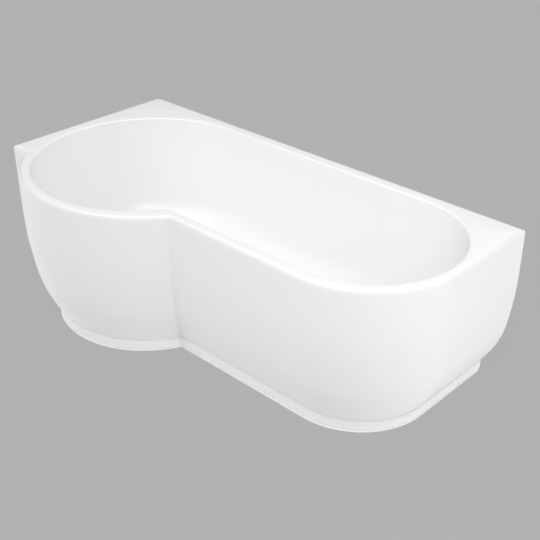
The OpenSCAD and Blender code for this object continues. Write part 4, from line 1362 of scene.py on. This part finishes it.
def makeCleanOut():
    facts = cleanOutFacts
    r, start, height, plug, low = sizes(facts, "radius start height plug plugStart")
    cap = pulled("cleanOut", regular(r, facts["sides"]), height, cleanWay @ at(0, 0, start))
    chamferEnds(cap, r, start, start + height, facts["chamfer"], cleanWay)
    cut(cap, turned("plug", [
        (0, low), (plug - 0.7, low), (plug, low + 0.7), (plug, start + 0.7), (0, start + 0.7)
    ], cleanWay, 48), "UNION")
    return cap


stand(makeTrapBody(), "trap_body")
stand(makeCleanOut(), "trap_clean_out")
print("trap made")

# Overflow: sizes along its own axis, from the wall into the bowl
coverFacts = {
    "bore": 13, "tail": 15.7, "low": -6, "seat": 4.5, "rim": 36, "high": 7.5,
    "hub": 7, "hubBore": 4.05, "hubLow": -3.5, "webs": (10, 130, 250),
}
knobFacts = {
    "shaft": 4, "low": -12, "under": 12, "radius": 32, "high": 23, "scoop": 18, "scoopSide": 44, "scoopHeight": 17,
}
boxFacts = {
    "low": -30.5, "high": 3, "radius": 26, "flange": 30, "flangeLow": -14.5, "flangeHigh": -10.5, "neck": 19,
    "wall": 3, "portHeight": -22.5, "collar": 10, "stop": 30, "reach": 54, "portBore": 6.5,
}
standSeal("overflow_front_seal", overflowPlace)
standSeal("overflow_rear_seal", overflowPlace)


def makeOverflowPlate():
    facts = coverFacts
    bore, tail, low, seat, rim, high = sizes(facts, "bore tail low seat rim high")
    plate = turned("overflowCover", [
        (bore, low), (tail - 0.5, low), (tail, low + 0.5), (tail, seat), (rim - 0.5, seat), (rim, seat + 0.5),
        (rim - 0.2, high - 1.5), (rim - 1.2, high - 0.6), (rim - 3.5, high - 0.1), (rim - 6, high), (bore + 1, high),
        (bore, high - 0.8)
    ], overflowPlace, 96)
    hub, under = sizes(facts, "hub hubLow")
    cut(plate, washer("hub", hub, facts["hubBore"], under, high, overflowPlace, 0.5, 48), "UNION")
    makeWebs(plate, hub - 1, bore + 1, under + 0.3, high - 0.3, facts["webs"], overflowPlace)
    return plate


stand(makeOverflowPlate(), "overflow_plate")


def makeKnob():
    facts = knobFacts
    shaft, low, under, r, high = sizes(facts, "shaft low under radius high")
    knob = turned("turningKnob", [
        (0, low), (shaft - 0.5, low), (shaft, low + 0.5), (shaft, under), (r - 0.7, under), (r, under + 0.7),
        (r, high - 2.2), (r - 0.4, high - 1.1), (r - 1.3, high - 0.3), (r - 2.6, high), (r - 8, high),
        (r - 10, high - 0.4), (0, high - 0.6)
    ], overflowPlace, 128)
    scoops = [overflowPlace @ at(0, s * facts["scoopSide"], facts["scoopHeight"]) for s in (-1, 1)]
    drill(knob, scoops, facts["scoop"], 16, 96)
    return knob


stand(makeKnob(), "overflow_knob", "knob")


def makeOverflowBox():
    facts = boxFacts
    low, high, r, neck, wall, flange, edge, face = sizes(facts, "low high radius neck wall flange flangeLow flangeHigh")
    box = turned("overflowBox", [
        (0, low), (r - 1.6, low), (r, low + 1.6), (r, edge - 1.1), (r + 0.5, edge - 0.3), (r + 1.4, edge),
        (flange - 0.7, edge), (flange, edge + 0.7), (flange, face - 0.6), (flange - 0.6, face), (neck, face),
        (neck, high - 0.7), (neck - 0.7, high), (0, high)
    ], overflowPlace, 72)
    way = overflowPlace @ at(0, 0, facts["portHeight"]) @ turnAbout("Y", -90)
    cut(box, spigot("outlet", facts["collar"], facts["stop"], facts["reach"], way), "UNION")
    cut(box, turned("bore", [
        (0, low + 2.5), (r - wall, low + 2.5), (r - wall, edge), (neck - wall, edge), (neck - wall, high + 1),
        (0, high + 1)
    ], overflowPlace, 64))
    drillPort(box, way, facts)
    return box


stand(makeOverflowBox(), "overflow_body")
print("overflow made")

# Hose from the overflow down to the waste: a straight run, one bend and a straight run
hoseFacts = {
    "crest": 0.013, "valley": 0.0114, "bore": 0.00875, "bend": 0.112, "pitch": 0.005, "sides": 28, "innerRings": 48,
    "axis": -0.0225, "stop": 0.030, "portZ": 0.113, "portStop": 0.038,
}
hoseHeading = math.radians(-90 - overflowTilt)
hoseStart = overflowPlace @ Vector((-hoseFacts["stop"], 0, hoseFacts["axis"]))
bendTurn = math.pi + hoseHeading
bendDrop = hoseFacts["bend"] * (1 + math.cos(hoseHeading))
firstRun = (hoseStart.z - hoseFacts["portZ"] - bendDrop) / -math.sin(hoseHeading)
bendRun = hoseFacts["bend"] * bendTurn
bendEndX = hoseStart.x + firstRun * math.cos(hoseHeading) + hoseFacts["bend"] * math.sin(hoseHeading)
lastRun = bendEndX - wasteX - hoseFacts["portStop"]
hoseLength = firstRun + bendRun + lastRun


def headingAt(length):
    return hoseHeading - bendTurn * min(1, max(0, (length - firstRun) / bendRun))


def hosePoint(length):
    straight, heading, rest = min(length, firstRun), headingAt(length), max(0, length - firstRun - bendRun)
    bend = hoseFacts["bend"]
    return Vector((
        hoseStart.x + straight * math.cos(hoseHeading) - bend * (math.sin(heading) - math.sin(hoseHeading)) - rest,
        midY,
        hoseStart.z + straight * math.sin(hoseHeading) + bend * (math.cos(heading) - math.cos(hoseHeading)),
    ))


def hoseRing(length, radius):
    middle, heading = hosePoint(length), headingAt(length)
    return [
        middle + radius * Vector((-math.sin(heading) * math.cos(a), math.sin(a), math.cos(heading) * math.cos(a)))
        for a in (math.tau * i / hoseFacts["sides"] for i in range(hoseFacts["sides"]))
    ]


def makeHose():
    facts = hoseFacts
    ribs = math.floor(hoseLength / facts["pitch"])
    step = hoseLength / ribs
    wave = [(0.0, 0.0), (0.18, 0.85), (0.3, 1.0), (0.42, 0.85), (0.6, 0.0)]
    lines = [
        hoseRing((i + share) * step, mix(facts["valley"], facts["crest"], rise))
        for i in range(ribs) for share, rise in wave
    ]
    lines.append(hoseRing(hoseLength, facts["valley"]))
    rings = facts["innerRings"]
    lines += [hoseRing(hoseLength * i / rings, facts["bore"]) for i in range(rings, -1, -1)]
    hose = drawThrough("ribbedHose", lines)
    selectOpen(hose)
    bpy.ops.mesh.bridge_edge_loops()
    endSolid()
    return hose


stand(makeHose(), "overflow_hose", degrees=60)

clipFacts = {"inner": 13.3, "outer": 14.5, "width": 8, "housing": 6, "fromEnd": 0.012}


def makeClip(name, length):
    facts = clipFacts
    half, r = facts["width"] / 2, facts["outer"]
    way = Matrix.Translation(hosePoint(length)) @ turnAbout("Y", 90 - math.degrees(headingAt(length)))
    band = washer("band", r, facts["inner"], -half, half, way, 0.3, 64)
    low, high = facts["inner"] + 0.6, facts["inner"] + 0.6 + facts["housing"]
    housing = pulled("housing", [
        (-half, low), (half, low), (half, high - 2), (half - 2, high), (2 - half, high), (-half, high - 2)
    ], facts["width"], way @ at(0, 0, -half))
    bevelEdges(housing, 0.4, 30)
    applyAll(housing)
    cut(band, housing, "UNION")
    start, end, under, over = -half - 1, 1 - half, high - 3.4, high - 2.6
    slot = pulled("slot", [(start, under), (end, under), (end, over), (start, over)], 4.4, way @ at(0, 0, -2.2))
    cut(band, slot)
    band.name = name
    return band


stand(makeClip("upperClip", clipFacts["fromEnd"]), "hose_clip_upper")
stand(makeClip("lowerClip", hoseLength - clipFacts["fromEnd"]), "hose_clip_lower")
print("hose drawn:", round(hoseLength, 3), "m")

# Wall brackets under the rim's lip, and cleats on the skirt's floor flange
bracketFacts = {
    "width": 60, "steel": 2, "drop": 60, "hook": 12, "tab": 14, "bend": 2.4, "hole": 2.75, "pitch": 36, "holeDrop": 36,
    "places": {
        "wall_bracket_back_left": (-150, backY / mm, 0),
        "wall_bracket_back_right": (250, backY / mm, 0),
        "wall_bracket_side": (leftX / mm, 50, 90),
    },
}


def makeBracket(name, x, y, turn):
    facts = bracketFacts
    half, hook = facts["steel"] / 2, facts["hook"] - facts["steel"] / 2
    section = sheetSection([(-half, -facts["drop"]), (-half, -half), (-hook, -half), (-hook, facts["tab"])],
                           facts["steel"], facts["bend"])
    lipZ = (rimZ - bowlFacts["lip"]) / mm
    place = at(x, y, lipZ) @ turnAbout("Z", turn)
    bracket = pulled(name, section, facts["width"],
                     place @ at(-facts["width"] / 2, 0, 0) @ axes((0, 1, 0), (0, 0, 1)))
    holes = [place @ at(s * facts["pitch"] / 2, -half, -facts["holeDrop"]) @ turnAbout("X", 90) for s in (-1, 1)]
    drill(bracket, holes, facts["hole"], 4)
    return bracket


for node, (x, y, turn) in bracketFacts["places"].items():
    words = node.split("_")
    stand(makeBracket("rimBracket" + "".join(word.capitalize() for word in words[2:]), x, y, turn), node)

cleatFacts = {"width": 40, "steel": 2, "high": 26, "foot": 22, "bend": 2.4}


def makeCleat(name, place):
    facts = cleatFacts
    half = facts["steel"] / 2
    section = sheetSection([(facts["foot"], half), (half, half), (half, facts["high"])], facts["steel"], facts["bend"])
    cleat = pulled(name, section, facts["width"],
                   place @ at(-facts["width"] / 2, 0, 0) @ axes((0, 1, 0), (0, 0, 1)))
    drill(cleat, [place @ hole @ at(0, 0, half) for hole in cleatHoles], cleatHole, 4)
    return cleat


for node, place in cleatPlaces.items():
    stand(makeCleat("floor" + "".join(word.capitalize() for word in node.split("_")[1:]), place), node)
for node in ("base_board", "deck_board_left", "deck_board_right"):
    soften(nodes[node], 0.8)
print("brackets and cleats bent")

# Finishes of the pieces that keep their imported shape
for nodeName, node in nodes.items():
    node.data.materials.clear()
    node.data.materials.append(finishes[finishOfSlot[slotOfNode[nodeName]]])
print("packed pieces finished")
